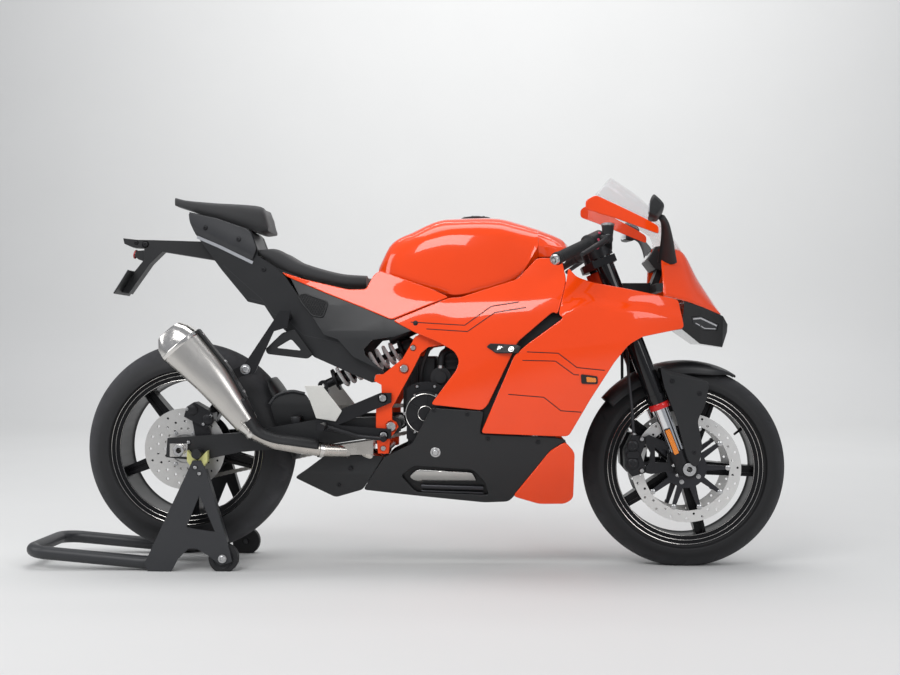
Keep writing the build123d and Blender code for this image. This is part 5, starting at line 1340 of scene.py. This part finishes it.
SIL_FROM = Vector((-445, -218, 430))
SIL_WAY = Vector((-223, 0, 260)).normalized()
SIL_UP = Vector((SIL_WAY.z, 0, -SIL_WAY.x))
SILENCER = (
    # place along, reach above and below, half width
    (0, 31, 31, 31), (60, 44, 34, 40), (160, 62, 40, 52), (300, 66, 60, 54))
END_CAP = (
    # place along, reach above and below, half width, squareness
    (326, 60, 54, 49, 2.7), (350, 45, 36, 35, 2.7), (352, 40, 31, 31, 2.7), (351, 27, 23, 24, 2.0),
    (300, 26, 22, 23, 2.0))
HANGER = [(-408, 648), (-358, 696), (-322, 706), (-268, 632), (-284, 620), (-402, 634)]
HANGER_HOLE = [(-376, 652), (-332, 678), (-302, 644)]


def silencer_spot(along, up=0.0, across=0.0):
    """Place in the silencer's own directions."""
    return SIL_FROM + SIL_WAY * along + SIL_UP * up + Vector((0, across, 0))


def silencer_ring(along, above, below, half, square=2.7):
    """Section of the silencer, between round and square."""
    ring = []
    for k in range(40):
        turn = 2 * math.pi * k / 40
        c, s = math.cos(turn), math.sin(turn)
        up = math.copysign(abs(c) ** (2 / square), c) * (above if c > 0 else below)
        across = math.copysign(abs(s) ** (2 / square), s) * half
        ring.append(silencer_spot(along, up, across))
    return ring


def make_silencer():
    body = Shape().loft([silencer_ring(a, *read(SILENCER, a)) for a in range(6, 295, 12)])
    make("silencer_shell", body, "brushed", "chassis", ("silencer",), 50.0)
    rings = []
    for along, grow in ((288, 1.008), (290, 1.025), (299, 1.03), (301, 1.0)):
        rings.append(silencer_ring(along, *[grow * size for size in read(SILENCER, min(along, 298))]))
    rings += [silencer_ring(*row) for row in END_CAP]
    cap = Shape().loft(rings, cap=False)
    make("silencer_end_cap", cap, "polished", "chassis", (), 24.0)
    # Dark cone in the silencer's outlet that paints the shade inside the pipe
    hole = Shape().lathe([(0, 0), (24, 0), (25, 24)], silencer_spot(318, 4), SIL_WAY, 32)
    make("silencer_throat", hole, "shade_and_stripe_black", "chassis")
    clamp = Shape()
    clamp.lathe([(31, 8), (30, 0), (23, -22), (23, -34), (20.5, -36)], SIL_FROM, SIL_WAY, 40)
    clamp.lathe([(22, -33), (25, -32), (25, -22), (22, -21)], SIL_FROM, SIL_WAY, 40)
    for side in (-1, 1):
        coil = []
        for k in range(90):
            turn = 2 * math.pi * k / 9
            across = side * 33 + 3.4 * math.sin(turn)
            coil.append(silencer_spot(-26 + 44 * k / 89, 3.4 * math.cos(turn), across))
        clamp.sweep(coil, 1.1, 6)
    clamp.lathe([(18, -7), (22, -6), (22, 6), (18, 7)], (-240, -180, 358), (0.87, 0.42, -0.12), 36)
    make("silencer_clamps", clamp, "polished", "chassis")
    bolts = Shape().bolt((-462, -167, 590), RIGHT, 11, 7).bolt((-522, -170.4, 564), RIGHT, 7, 4)
    for along in (80, 180, 280):
        reach = smooth((60, 160, 300), (44, 62, 66), along) + 8.0
        bolts.bolt(silencer_spot(along, reach), SIL_UP, 4.5, 3.0)
    make("silencer_bolts", bolts, "bolt", "chassis")
    line = curve([
        silencer_spot(70, 16), silencer_spot(10, 4), silencer_spot(-34), (-376, -213, 382),
        (-312, -203, 371), (-250, -184, 361)], 7)
    line = [Vector(spot) for spot in line]
    rings = []
    for k, spot in enumerate(line):
        ahead = (line[min(k + 1, len(line) - 1)] - line[max(k - 1, 0)]).normalized()
        side = ahead.cross(Vector(UP)).normalized()
        up = side.cross(ahead)
        reach = 34.0 - 8.0 * ease(k / 16.0)
        ring = []
        for j in range(17):
            turn = math.radians(-62 + 150 * j / 16)
            ring.append(spot + up * reach * math.cos(turn) + side * reach * math.sin(turn))
        rings.append(ring)
    guard = make("pipe_guard", open_skin(rings), "satin_black", "chassis", (), 60.0)
    thicken(guard, 2.0, 1.0)
    stay = panel(Shape(), HANGER, lambda x, z: 146.0, 2.0, 8.0, 7.0, (HANGER_HOLE,), 9.0)
    make("hanger_bracket", stay, "satin_black", "chassis")


def facing(turn):
    """Direction (x, z) at an angle."""
    return Vector((math.cos(turn), math.sin(turn)))


def chain_line(pitch):
    """Places of the pins along the closed chain."""
    big, small = 106.0, 36.0
    rear, drive = Vector((REAR[0], REAR[2])), Vector(FRONT_SPROCKET)
    span = drive - rear
    lean = math.atan2(span.y, span.x)
    spread = math.acos((big - small) / span.length)
    run = math.sqrt(span.length ** 2 - (big - small) ** 2)
    rear_arc, drive_arc = big * (2 * math.pi - 2 * spread), small * 2 * spread
    whole = 2 * run + rear_arc + drive_arc
    count = int(round(whole / pitch / 2)) * 2
    above, below = facing(lean + spread), facing(lean - spread)
    pins = []
    for k in range(count):
        s = whole * k / count
        if s < run:
            pins.append(rear + above * big + Vector((above.y, -above.x)) * s)
        elif s < run + drive_arc:
            pins.append(drive + facing(lean + spread - (s - run) / small) * small)
        elif s < 2 * run + drive_arc:
            pins.append(drive + below * small + Vector((below.y, -below.x)) * (s - run - drive_arc))
        else:
            pins.append(rear + facing(lean - spread - (s - 2 * run - drive_arc) / big) * big)
    return pins


def make_chain(sizes):
    pins = chain_line(sizes.chain_pitch / MM)
    links = Shape()
    for k, here in enumerate(pins):
        after = pins[(k + 1) % len(pins)]
        along = (after - here).normalized()
        up = Vector((-along.y, along.x))
        outline = []
        for end, base in ((1, after), (-1, here)):
            for turn in (-60, -20, 20, 60):
                c, s = math.cos(math.radians(turn)), math.sin(math.radians(turn))
                outline.append(base + along * (end * 7.0 * c) + up * (end * 7.0 * s))
            outline.append((here + after) / 2 + up * (end * 5.0))
        outer = k % 2 == 0
        for side in (-1, 1):
            y0 = CHAIN_Y + side * (6.0 if outer else 3.8)
            y1 = y0 + side * 1.9
            low, high = min(y0, y1), max(y0, y1)
            links.loft([[(p.x, low, p.y) for p in outline], [(p.x, high, p.y) for p in outline]])
        links.lathe([(5.0, -5), (5.0, 5)], (here.x, CHAIN_Y, here.y), LEFT, 8, cap=True)
        for side in (-1, 1):
            button(links, (here.x, CHAIN_Y + side * 7.2, here.y), (0, side, 0), 2.6, 1.4, 8)
    make("chain_links", links, "chain_steel", "chassis", ("chain",), 30.0)


def make_shock():
    low, high = Vector((-250, -50, 540)), Vector((36, -50, 672))
    way = (high - low).normalized()
    across = Vector(LEFT)
    third = way.cross(across)
    span = (high - low).length
    coil = []
    turns, steps = 9, 24
    for k in range(turns * steps + 1):
        turn = 2 * math.pi * k / steps
        out = across * math.cos(turn) + third * math.sin(turn)
        coil.append(low + way * (52 + 196 * k / (turns * steps)) + out * 28.5)
    make("shock_spring", Shape().sweep(coil, 5.5, 10), "spring", "chassis", ("rear_shock",))
    core = Shape().lathe([
        (0, 12), (13, 12), (13, 34), (33, 38), (34, 46), (20, 48), (20, 150), (9, 152), (9, 250),
        (34, 254), (34, 262), (26, 266), (26, span - 22), (14, span - 14), (0, span - 13)], low, way, 36)
    for end in (low, high):
        core.lathe([(6, -13), (15, -13), (16, -11), (16, 11), (15, 13), (6, 13)], end, across, 28)
    tank = [(0, 0), (19, 0), (21, 3), (21, 88), (18, 92), (0, 92)]
    core.lathe(tank, low + way * 236 + third * 44, way, 32)
    make("shock_body", core, "black_metal", "chassis")


def make_frame_bolts():
    shape = Shape()
    for x, z, y, radius in (
            # x, z, face, radius
            (0, 592, 168, 11), (-37, 425, 168, 13), (26, 652, 168, 7), (-60, 362, 168, 7),
            (-60, 507, 182, 10), (-58, 400, 182, 10), (-74, 563, 150, 10)):
        shape.bolt((x, -y, z), RIGHT, radius, radius * 0.7)
    for x, z in ((-632, 376), (-632, 334)):
        shape.bolt((x, -146, z), RIGHT, 5.0, 4.0)
    shape.lathe([(9, 0), (9, 5), (16, 5), (19, 2), (19, 0)], (REAR[0], -170, REAR[2]), RIGHT, 6)
    make("frame_bolts", shape.mirrored(), "bolt", "chassis")


VENT_LINING = [(296, 616), (330, 636), (470, 724), (484, 800), (412, 786), (312, 694)]
EDGE_LINING = [(196, 396), (246, 396), (336, 632), (300, 652), (232, 506), (200, 470)]
FAIRING_BRACKET = [(238, 654), (248, 664), (324, 661), (336, 655), (328, 636), (263, 638)]
MARKER = [(503, 577), (550, 571), (551, 549), (505, 550)]
MARKER_LENS = [(518, 570), (546, 566), (546, 554), (519, 555)]
SCREWS = ((88, 474), (183, 463), (242, 392), (385, 383), (-160, 300), (34, 723), (-196, 250))
SIDE_STRIPES = (
    [(20, 726), (176, 716), (252, 770), (330, 782)], [(66, 706), (184, 698), (262, 752), (350, 766)])
FRONT_STRIPES = (
    [(352, 640), (440, 636), (492, 596), (570, 588)], [(340, 616), (432, 614), (484, 576), (498, 575)],
    [(300, 520), (400, 512), (448, 474), (506, 470)])


def bracket_half(x, z):
    """Half width of the fairing brackets, level ahead of their fixing."""
    return front_half(min(x, 330), z) + 3.0


def make_panel_trim(sizes):
    # Darker linings set back in the vents and along the fairing's edge paint the shade in these recesses
    lining = panel(Shape(), VENT_LINING, proud(body_half, -22), 2, 3, 6)
    panel(lining, EDGE_LINING, proud(body_half, -10), 2, 3, 6)
    make("vent_linings", lining.mirrored(), "shade_and_stripe_black", "chassis")
    bracket = panel(Shape(), FAIRING_BRACKET, bracket_half, 2.0, 4.0, 4.0, (), 8.0)
    make("fairing_brackets", bracket.mirrored(), "satin_black", "chassis")
    marker = panel(Shape(), MARKER, proud(front_half, 4.0), 2.0, 5.0, 5.0, (), 6.0)
    make("side_markers", marker.mirrored(), "satin_black", "chassis")
    glass = panel(Shape(), MARKER_LENS, proud(front_half, 5.2), 1.2, 2.0, 4.0, (), 6.0)
    make("side_marker_lenses", glass.mirrored(), "amber", "chassis")
    dark, bright = Shape(), Shape()
    for x, z in SCREWS:
        at, way = on_skin(x, z, body_half, 0.2)
        dark.bolt(at, way, 5.5, 3.0)
    for x, z in ((276, 650), (309, 647)):
        at, way = on_skin(x, z, front_half, 3.0)
        bright.bolt(at, way, 6.0, 3.0)
    at, way = on_skin(91, 351, body_half, 0.2)
    bright.lathe([(0, 5), (7, 5), (9, 3.4), (10, 1), (14, 1), (15, 0), (15, -2)], at, way, 32)
    make("panel_screws", dark.mirrored(), "black_metal", "chassis")
    make("panel_bolts", bright.mirrored(), "bolt", "chassis")
    width = sizes.stripe_width / MM
    stripes = Shape()
    for path in SIDE_STRIPES:
        ribbon(stripes, path, width, body_half)
    for path in FRONT_STRIPES:
        ribbon(stripes, path, width, front_half)
    make("pinstripes", stripes.mirrored(), "shade_and_stripe_black", "chassis")


TAIL_LINE = ((-640, -456), (996, 908))


def tail_crest(x, z):
    """Half width of the tail's upper cover, fullest just above its silver line."""
    over = z - smooth(TAIL_LINE[0], TAIL_LINE[1], x)
    return tail_half(x, z) + 1.5 + 7.0 * ease(over / 24.0) - 4.0 * ease((over - 30.0) / 70.0)


TAIL_COVER = [
    (-655, 1058), (-651, 1030), (-637, 996), (-456, 909), (-441, 945), (-459, 992), (-471, 1004),
    (-566, 1038)]
TAIL_SEAMS = (
    [(-556, 893), (-470, 800), (-418, 786)], [(-545, 898), (-430, 800), (-392, 752), (-356, 742)],
    [(-356, 742), (-300, 690), (-180, 664), (-80, 600)])
GRILLE = [(-316, 805), (-298, 812), (-226, 786), (-240, 742), (-272, 746), (-304, 784)]
GRILLE_MIDDLE = (-270, 778)
PLATE_EDGES = ((-835.1, 0, 885.9), (-878.6, 0, 815.6))
REFLECTOR_STAY = [(-800, 950), (-828, 948), (-834, 932), (-822, 922), (-800, 914)]


def sheet(first, second, out, layers):
    """Thin sheet across the bike between two edges, in layers of lift, inset and half width."""
    first, second, out = Vector(first), Vector(second), Vector(out)
    way = (second - first).normalized()
    rings = []
    for lift, trim, wide in layers:
        a = first + way * trim + out * lift
        b = second - way * trim + out * lift
        rings.append([(p.x, y, p.z) for p, y in ((a, -wide), (a, wide), (b, wide), (b, -wide))])
    return Shape().loft(rings)


def make_grilles():
    infill = proud(body_half, -4.4)
    # Darker sheet behind the grille mesh that paints the shade in its recess
    recess = panel(Shape(), GRILLE, infill, 1.0, 2.0, 8.0, (), 10.0)
    make("grille_recesses", recess.mirrored(), "shade_and_stripe_black", "chassis")
    bars = Shape()
    loop = rounded(GRILLE, 8.0)
    for lean in (1, -1):
        for k in range(-30, 31):
            line = []
            for j in range(-60, 61):
                x = GRILLE_MIDDLE[0] + k * 8.0 + j
                z = GRILLE_MIDDLE[1] + lean * j * 2.0 * 0.866
                if inside((x, z), loop):
                    line.append((x, z))
            if len(line) > 3:
                ends = (line[0], line[len(line) // 2], line[-1])
                bars.sweep([on_skin(x, z, infill, 1.4)[0] for x, z in ends], 1.0, 6)
    rim = [on_skin(x, z, infill, 1.0)[0] for x, z in loop + loop[:1]]
    bars.sweep(rim, 2.2, 8)
    make("grille_meshes", bars.mirrored(), "satin_black", "chassis")


def make_tail_trim():
    cover = panel(Shape(), TAIL_COVER, tail_crest, 2.0, 3.0, 9.0, (), 8.0)
    make("tail_covers", cover.mirrored(), "graphite", "chassis")
    trim = Shape()
    ribbon(trim, [(-628, 984), (-560, 955), (-454, 904)], 9.0, proud(tail_half, 1.2))
    make("tail_silver_lines", trim.mirrored(), "silver_trim", "chassis")
    screws = Shape()
    for x, z in ((-600, 1010), (-496, 974)):
        at, way = on_skin(x, z, tail_crest, 0.3)
        screws.bolt(at, way, 6.0, 3.0)
    at, way = on_skin(-421, 884, tail_half, 0.3)
    screws.bolt(at, way, 6.0, 3.0)
    make("tail_screws", screws.mirrored(), "black_metal", "chassis")
    seams = Shape()
    for path in TAIL_SEAMS:
        ribbon(seams, path, 1.6, tail_half)
    make("tail_seams", seams.mirrored(), "graphite", "chassis")
    make_grilles()
    plate = sheet(*PLATE_EDGES, (-0.851, 0, 0.527), ((0.2, 0.0, 77.0), (1.6, 0.0, 76.0)))
    make("number_plate_blank", plate, "plate_grey", "chassis")
    stay = Shape().slab(rounded(REFLECTOR_STAY, 3, 2), -16, 16, 1.5)
    make("reflector_stay", stay, "satin_black", "chassis")
    spot = Shape().lathe([(0, 5), (12, 5), (14, 3), (14, 0)], (-833, 0, 938), (-0.97, 0, 0.24), 32)
    make("rear_reflector", spot, "red_lens", "chassis")
    bolts = Shape().bolt((-798, -22, 967), RIGHT, 8.0, 4.0)
    bolts.bolt((-826, -22, 972), RIGHT, 5.0, 3.0)
    make("plate_bolts", bolts.mirrored(), "black_metal", "chassis")


BAR_END = Vector((428, -340, 893))
BAR_WAY = Vector((102, 118, 55)).normalized()


BAR_CAP = [(0, -8), (5, -8), (6, -3), (9, -9), (13, -8), (15, -3), (15, 1.5), (11, 2)]
RESERVOIR = (582.4, -213.5, 1000)
RESERVOIR_CAP = [(0, 6), (12, 6), (13, 4), (18.6, 4), (19, 2), (19, -2), (17.8, -2)]
DASH_EDGES = ((713.6, 0, 914), (732.6, 0, 947))
SWITCHES = (
    # place along the bar, turn about it, radius
    (178, 0.4, 4.5), (190, 0.9, 5.0), (200, -0.3, 4.0), (182, 1.6, 4.0))


def make_cockpit():
    grip = [(11.4, 3), (17.5, 3), (18.2, 5), (18.2, 13), (16.4, 16)]
    for k in range(22):
        grip += [(15.4, 18 + 6 * k), (16.6, 19.2 + 6 * k), (16.6, 22.2 + 6 * k), (15.4, 23.4 + 6 * k)]
    grip += [(17.0, 152), (24.5, 156), (25, 158), (25, 163), (24, 165), (11.4, 165)]
    sleeves = Shape().lathe(grip, BAR_END, BAR_WAY, 40).mirrored()
    make("grip_sleeves", sleeves, "rubber", "steering", ("grips",))
    ends = Shape().lathe(BAR_CAP, BAR_END, BAR_WAY, 36)
    make("bar_ends", ends.mirrored(), "bolt", "steering")
    cap = Shape().lathe(RESERVOIR_CAP, RESERVOIR, UP, 40)
    make("reservoir_cap", cap, "cast_grey", "steering")
    marks = Shape()
    side = BAR_WAY.orthogonal().normalized()
    other = BAR_WAY.cross(side)
    for along, turn, radius in SWITCHES:
        out = side * math.cos(turn) + other * math.sin(turn)
        button(marks, BAR_END + BAR_WAY * along + out * 23.6, out, radius, 3.0)
    make("switch_buttons", marks.mirrored(), "clip", "steering")
    pins = Shape()
    root = BAR_END + BAR_WAY * 201.4 + Vector((0.755, -0.655, 0)) * 40
    pins.bolt(root + Vector((0, 0, 12.5)), UP, 6.0, 4.0)
    make("lever_pivots", pins.mirrored(), "bolt", "steering")
    out = Vector((-33, 0, 19)).normalized()
    face = sheet(*DASH_EDGES, out, ((0.0, 0.0, 77.0), (1.4, 1.5, 75.5)))
    make("dash_screen", face, "smoked", "chassis")


MIRROR_OUTLINES = (
    [(686, 1003), (690, 1050), (700, 1070), (720, 1052), (731, 1038), (727, 1023), (711, 1000)],
    [(690, 1012), (693, 1046), (701, 1060), (716, 1046), (724, 1036), (721, 1024), (709, 1008)])
MIRROR_HEAD = (
    # y, outline, shift along x and z, size
    (-280, 0, 0, 0, 0.86), (-283, 0, 0, 0, 1.0), (-312, 0, -3, 1, 1.02), (-345, 0, -6, 2, 1.0),
    (-370, 0, -9, 1, 0.95), (-386, 1, -12, 0, 1.0), (-388, 1, -12, 0, 0.9))
MIRROR_STALK = (
    # place, half width along, half thickness
    (722, -302, 1012, 11, 10), (736, -272, 996, 12, 8), (748, -220, 962, 17, 7), (756, -168, 922, 24, 8),
    (760, -142, 900, 28, 10))
MIRROR_GLASS = (
    (686.4, -287, 1008), (689.6, -287, 1047), (683.4, -345, 1048), (680.6, -382, 1043),
    (678.2, -382, 1016), (680.4, -345, 1010))


def make_mirrors():
    rings = []
    for y, number, dx, dz, size in MIRROR_HEAD:
        outline = rounded(MIRROR_OUTLINES[number], 9, 4)
        mx = sum(p[0] for p in outline) / len(outline)
        mz = sum(p[1] for p in outline) / len(outline)
        rings.append([(mx + (x - mx) * size + dx, y, mz + (z - mz) * size + dz) for x, z in outline])
    head = Shape().loft(rings)
    rings = []
    for k in range(25):
        x, y, z, long, thick = along_rows(MIRROR_STALK, k / 6)
        ring = []
        for j in range(24):
            turn = 2 * math.pi * j / 24
            c, s = math.cos(turn), math.sin(turn)
            ring.append((x + long * c, y + 0.6 * thick * s, z + 0.8 * thick * s))
        rings.append(ring)
    head.loft(rings)
    make("mirror_heads", head.mirrored(), "satin_black", "chassis", ("mirrors",), 50.0)
    rings = []
    for lift, trim in ((0.6, 0.0), (-1.2, 2.5)):
        ring = []
        for x, y, z in MIRROR_GLASS:
            ring.append((x + lift, y + (trim if y < -340 else -trim), z - math.copysign(trim, z - 1028)))
        rings.append(ring)
    glass = Shape().loft(rings)
    make("mirror_glasses", glass.mirrored(), "mirror", "chassis")


BEAK = (
    # x, low and high edge, half width
    (806, 706, 786.4, 158), (862, 664, 771.3, 120), (936, 654, 746, 52), (954, 700, 722, 26))


def beak_half(x, z):
    """Half width of the headlamp beak."""
    places = [row[0] for row in BEAK]
    k = max(0, min(2, sum(x >= p for p in places) - 1))
    t = (x - places[k]) / (places[k + 1] - places[k])
    low, high, half = (BEAK[k][c] + (BEAK[k + 1][c] - BEAK[k][c]) * t for c in (1, 2, 3))
    return half * (0.7 + 0.3 * (z - low) / (high - low))


def make_lamps():
    light = Shape()
    ribbon(light, [(838, 736), (862, 738), (916, 717)], 4.5, beak_half, -1.0)
    ribbon(light, [(846, 724), (876, 709), (912, 708)], 2.5, beak_half, -1.0)
    make("running_lights", light.mirrored(), "lamp", "chassis")


GEARBOX = [(-8, 452), (-8, 560), (34, 628), (90, 628), (90, 400), (12, 400)]
GEARBOX_RIBS = ((2, 470, 556), (18, 470, 580), (34, 540, 604), (50, 548, 616))


def make_engine_trim():
    bolts, rings, hoses = Shape(), Shape(), Shape()
    for x, z in around(10, CLUTCH, 82):
        if x > 10:
            bolts.bolt((x, -148, z), RIGHT, 4.5, 4.0)
    for x, z in around(6, CLUTCH, 60.5):
        bolts.bolt((x, -168, z), RIGHT, 3.4, 3.0)
    for x, z in around(8, GENERATOR, 76):
        bolts.bolt((x, 156, z), LEFT, 4.5, 4.0)
    for x, z in ((12, 384), (12, 488), (66, 508), (126, 490), (126, 384)):
        bolts.bolt((x, 138, z), LEFT, 4.5, 4.0)
    make("engine_bolts", bolts, "bolt", "chassis")
    # Thin polished hoops on the clutch cover: painted highlights that stand in for the bright arcs its
    # curves catch
    middle = (CLUTCH[0], -168.0, CLUTCH[1])
    hoop(rings, middle, LEFT, 57.0, 1.2, 64)
    hoop(rings, middle, LEFT, 21.5, 1.0, 48)
    make("clutch_cover_highlight_rings", rings, "polished", "chassis")
    for path, radius in (
            ([(44, -108, 545), (48, -122, 590), (66, -130, 640), (92, -122, 690)], 6.0),
            ([(112, -132, 520), (140, -140, 556), (160, -130, 596)], 9.0)):
        hoses.sweep(curve(path, 8), radius, 14)
    make("coolant_hoses", hoses, "rubber", "chassis")
    clips = Shape()
    for at, way, radius in (
            ((104.5, -116, 598), (0.05, -0.15, 1), 11.4), ((140, -99, 657), (0.75, 0.5, 0.5), 11.4),
            ((118, -134, 528), (0.6, -0.2, 0.8), 10.2)):
        clips.lathe([(radius - 2, -4), (radius, -4), (radius, 4), (radius - 2, 4)], at, way, 28)
    make("hose_clips", clips, "bolt", "chassis")
    case = Shape().slab(rounded(GEARBOX, 10, 3), -96, 96, 6.0)
    for x, low, high in GEARBOX_RIBS:
        case.slab(rounded([(x - 3, low), (x - 3, high), (x + 3, high), (x + 3, low)], 2, 2), -101, 101, 1.0)
    make("gearbox_case", case, "engine_black", "chassis")


def make_stand_trim():
    shape = Shape()
    shape.bolt((ROLLER[0], -185, ROLLER[1]), RIGHT, 9.0, 6.0)
    for x, z in ((-604, 306), (-592, 288)):
        shape.bolt((x, -181, z), RIGHT, 5.0, 4.0)
    make("stand_bolts", shape.mirrored(), "bolt", "chassis")
    for name, side in (("right", -1), ("left", 1)):
        rim = Shape()
        middle = (ROLLER[0], side * 174, ROLLER[1])
        hoop(rim, middle, LEFT, 29.0, 1.6, 48)
        hoop(rim, middle, LEFT, 17.0, 1.4, 40)
        make("stand_roller_rings_" + name, rim, "black_metal", "roller_" + name)


# Dressing the solids


def dress_solids():
    for node, (finish, bevel) in SOLID_FINISH.items():
        dress(node, finish, bevel)


# Operators


class SPORTBIKE_OT_finishes(bpy.types.Operator):
    """Make the finishes that the pieces use"""
    bl_idname = "sportbike.finishes"
    bl_label = "Finishes"

    def execute(self, context):
        make_finishes(context.scene.bike_colours)
        return {"FINISHED"}


class SPORTBIKE_OT_solids(bpy.types.Operator):
    """Dress the solids of frame, engine, fork, brakes and stand"""
    bl_idname = "sportbike.solids"
    bl_label = "Solids"

    def execute(self, context):
        dress_solids()
        return {"FINISHED"}


class SPORTBIKE_OT_bodywork(bpy.types.Operator):
    """Build the painted panels, tank, filler cap, nose and screen"""
    bl_idname = "sportbike.bodywork"
    bl_label = "Bodywork"

    def execute(self, context):
        make_bodywork(context.scene.bike_sizes)
        return {"FINISHED"}


class SPORTBIKE_OT_underbody(bpy.types.Operator):
    """Build the belly and tail pans and the collector's shields"""
    bl_idname = "sportbike.underbody"
    bl_label = "Underbody"

    def execute(self, context):
        make_underbody(context.scene.bike_sizes)
        return {"FINISHED"}


class SPORTBIKE_OT_seats(bpy.types.Operator):
    """Build the rider's and the passenger's cushions"""
    bl_idname = "sportbike.seats"
    bl_label = "Seats"

    def execute(self, context):
        make_seats()
        return {"FINISHED"}


class SPORTBIKE_OT_tyres(bpy.types.Operator):
    """Build the two tyres with their tread"""
    bl_idname = "sportbike.tyres"
    bl_label = "Tyres"

    def execute(self, context):
        make_tyres(context.scene.bike_sizes)
        return {"FINISHED"}


class SPORTBIKE_OT_wheel_trim(bpy.types.Operator):
    """Add rim lines, valves, rivets and hub bolts"""
    bl_idname = "sportbike.wheel_trim"
    bl_label = "Wheel trim"

    def execute(self, context):
        make_wheel_trim()
        return {"FINISHED"}


class SPORTBIKE_OT_fork_trim(bpy.types.Operator):
    """Add seal rings, caps, reflectors and calipers' caps"""
    bl_idname = "sportbike.fork_trim"
    bl_label = "Fork trim"

    def execute(self, context):
        make_fork_trim()
        return {"FINISHED"}


class SPORTBIKE_OT_mudguard(bpy.types.Operator):
    """Build the front mudguard with its leg covers"""
    bl_idname = "sportbike.mudguard"
    bl_label = "Mudguard"

    def execute(self, context):
        make_mudguard()
        return {"FINISHED"}


class SPORTBIKE_OT_hugger(bpy.types.Operator):
    """Build the rear hugger and the rear caliper's caps"""
    bl_idname = "sportbike.hugger"
    bl_label = "Hugger"

    def execute(self, context):
        make_hugger()
        return {"FINISHED"}


class SPORTBIKE_OT_silencer(bpy.types.Operator):
    """Build the silencer with its cap, clamps, springs and hanger"""
    bl_idname = "sportbike.silencer"
    bl_label = "Silencer"

    def execute(self, context):
        make_silencer()
        return {"FINISHED"}


class SPORTBIKE_OT_chain(bpy.types.Operator):
    """Build the drive chain link by link"""
    bl_idname = "sportbike.chain"
    bl_label = "Chain"

    def execute(self, context):
        make_chain(context.scene.bike_sizes)
        return {"FINISHED"}


class SPORTBIKE_OT_shock(bpy.types.Operator):
    """Build the rear shock and its coil spring"""
    bl_idname = "sportbike.shock"
    bl_label = "Rear shock"

    def execute(self, context):
        make_shock()
        return {"FINISHED"}


class SPORTBIKE_OT_frame_bolts(bpy.types.Operator):
    """Set the bolts of the frame and the rear axle"""
    bl_idname = "sportbike.frame_bolts"
    bl_label = "Frame bolts"

    def execute(self, context):
        make_frame_bolts()
        return {"FINISHED"}


class SPORTBIKE_OT_panel_trim(bpy.types.Operator):
    """Add linings that paint the vents' shade, brackets, markers, screws and pinstripes"""
    bl_idname = "sportbike.panel_trim"
    bl_label = "Panel trim"

    def execute(self, context):
        make_panel_trim(context.scene.bike_sizes)
        return {"FINISHED"}


class SPORTBIKE_OT_tail_trim(bpy.types.Operator):
    """Add the tail's lines, grilles, blank plate and reflector"""
    bl_idname = "sportbike.tail_trim"
    bl_label = "Tail trim"

    def execute(self, context):
        make_tail_trim()
        return {"FINISHED"}


class SPORTBIKE_OT_cockpit(bpy.types.Operator):
    """Build grips, bar ends, dash face and mirrors"""
    bl_idname = "sportbike.cockpit"
    bl_label = "Cockpit"

    def execute(self, context):
        make_cockpit()
        make_mirrors()
        return {"FINISHED"}


class SPORTBIKE_OT_lamps(bpy.types.Operator):
    """Build the headlamp's running lights"""
    bl_idname = "sportbike.lamps"
    bl_label = "Lamps"

    def execute(self, context):
        make_lamps()
        return {"FINISHED"}


class SPORTBIKE_OT_engine_trim(bpy.types.Operator):
    """Add the engine's bolts, highlight rings, hoses and gearbox case"""
    bl_idname = "sportbike.engine_trim"
    bl_label = "Engine trim"

    def execute(self, context):
        make_engine_trim()
        return {"FINISHED"}


class SPORTBIKE_OT_stand_trim(bpy.types.Operator):
    """Add the stand's bolts and roller rings"""
    bl_idname = "sportbike.stand_trim"
    bl_label = "Stand trim"

    def execute(self, context):
        make_stand_trim()
        return {"FINISHED"}


class SPORTBIKE_OT_stage(bpy.types.Operator):
    """Set the floor, lights and camera"""
    bl_idname = "sportbike.stage"
    bl_label = "Stage"

    def execute(self, context):
        make_floor(context.scene.bike_colours)
        make_lights()
        make_camera()
        return {"FINISHED"}


STEPS = (
    SPORTBIKE_OT_finishes, SPORTBIKE_OT_solids, SPORTBIKE_OT_bodywork, SPORTBIKE_OT_underbody,
    SPORTBIKE_OT_seats, SPORTBIKE_OT_tyres, SPORTBIKE_OT_wheel_trim, SPORTBIKE_OT_fork_trim,
    SPORTBIKE_OT_mudguard, SPORTBIKE_OT_hugger, SPORTBIKE_OT_silencer, SPORTBIKE_OT_chain,
    SPORTBIKE_OT_shock, SPORTBIKE_OT_frame_bolts, SPORTBIKE_OT_panel_trim, SPORTBIKE_OT_tail_trim,
    SPORTBIKE_OT_cockpit, SPORTBIKE_OT_lamps, SPORTBIKE_OT_engine_trim, SPORTBIKE_OT_stand_trim,
    SPORTBIKE_OT_stage,
)


class SPORTBIKE_PT_panel(bpy.types.Panel):
    """Sizes, colours and building steps of the sport bike"""
    bl_label = "Sport bike"
    bl_idname = "SPORTBIKE_PT_panel"
    bl_space_type = "VIEW_3D"
    bl_region_type = "UI"
    bl_category = "Sport bike"

    def draw(self, context):
        for group in (context.scene.bike_sizes, context.scene.bike_colours):
            box = self.layout.box()
            for name in group.__annotations__:
                box.prop(group, name)
        for step in STEPS:
            self.layout.operator(step.bl_idname)


CLASSES = (BikeSizes, BikeColours, *STEPS, SPORTBIKE_PT_panel)


def register():
    for item in CLASSES:
        bpy.utils.register_class(item)
    bpy.types.Scene.bike_sizes = bpy.props.PointerProperty(type=BikeSizes)
    bpy.types.Scene.bike_colours = bpy.props.PointerProperty(type=BikeColours)


def unregister():
    del bpy.types.Scene.bike_colours
    del bpy.types.Scene.bike_sizes
    for item in reversed(CLASSES):
        bpy.utils.unregister_class(item)


def main():
    register()
    for step in STEPS:
        group, name = step.bl_idname.split(".")
        getattr(getattr(bpy.ops, group), name)()


if __name__ == "__main__":
    main()
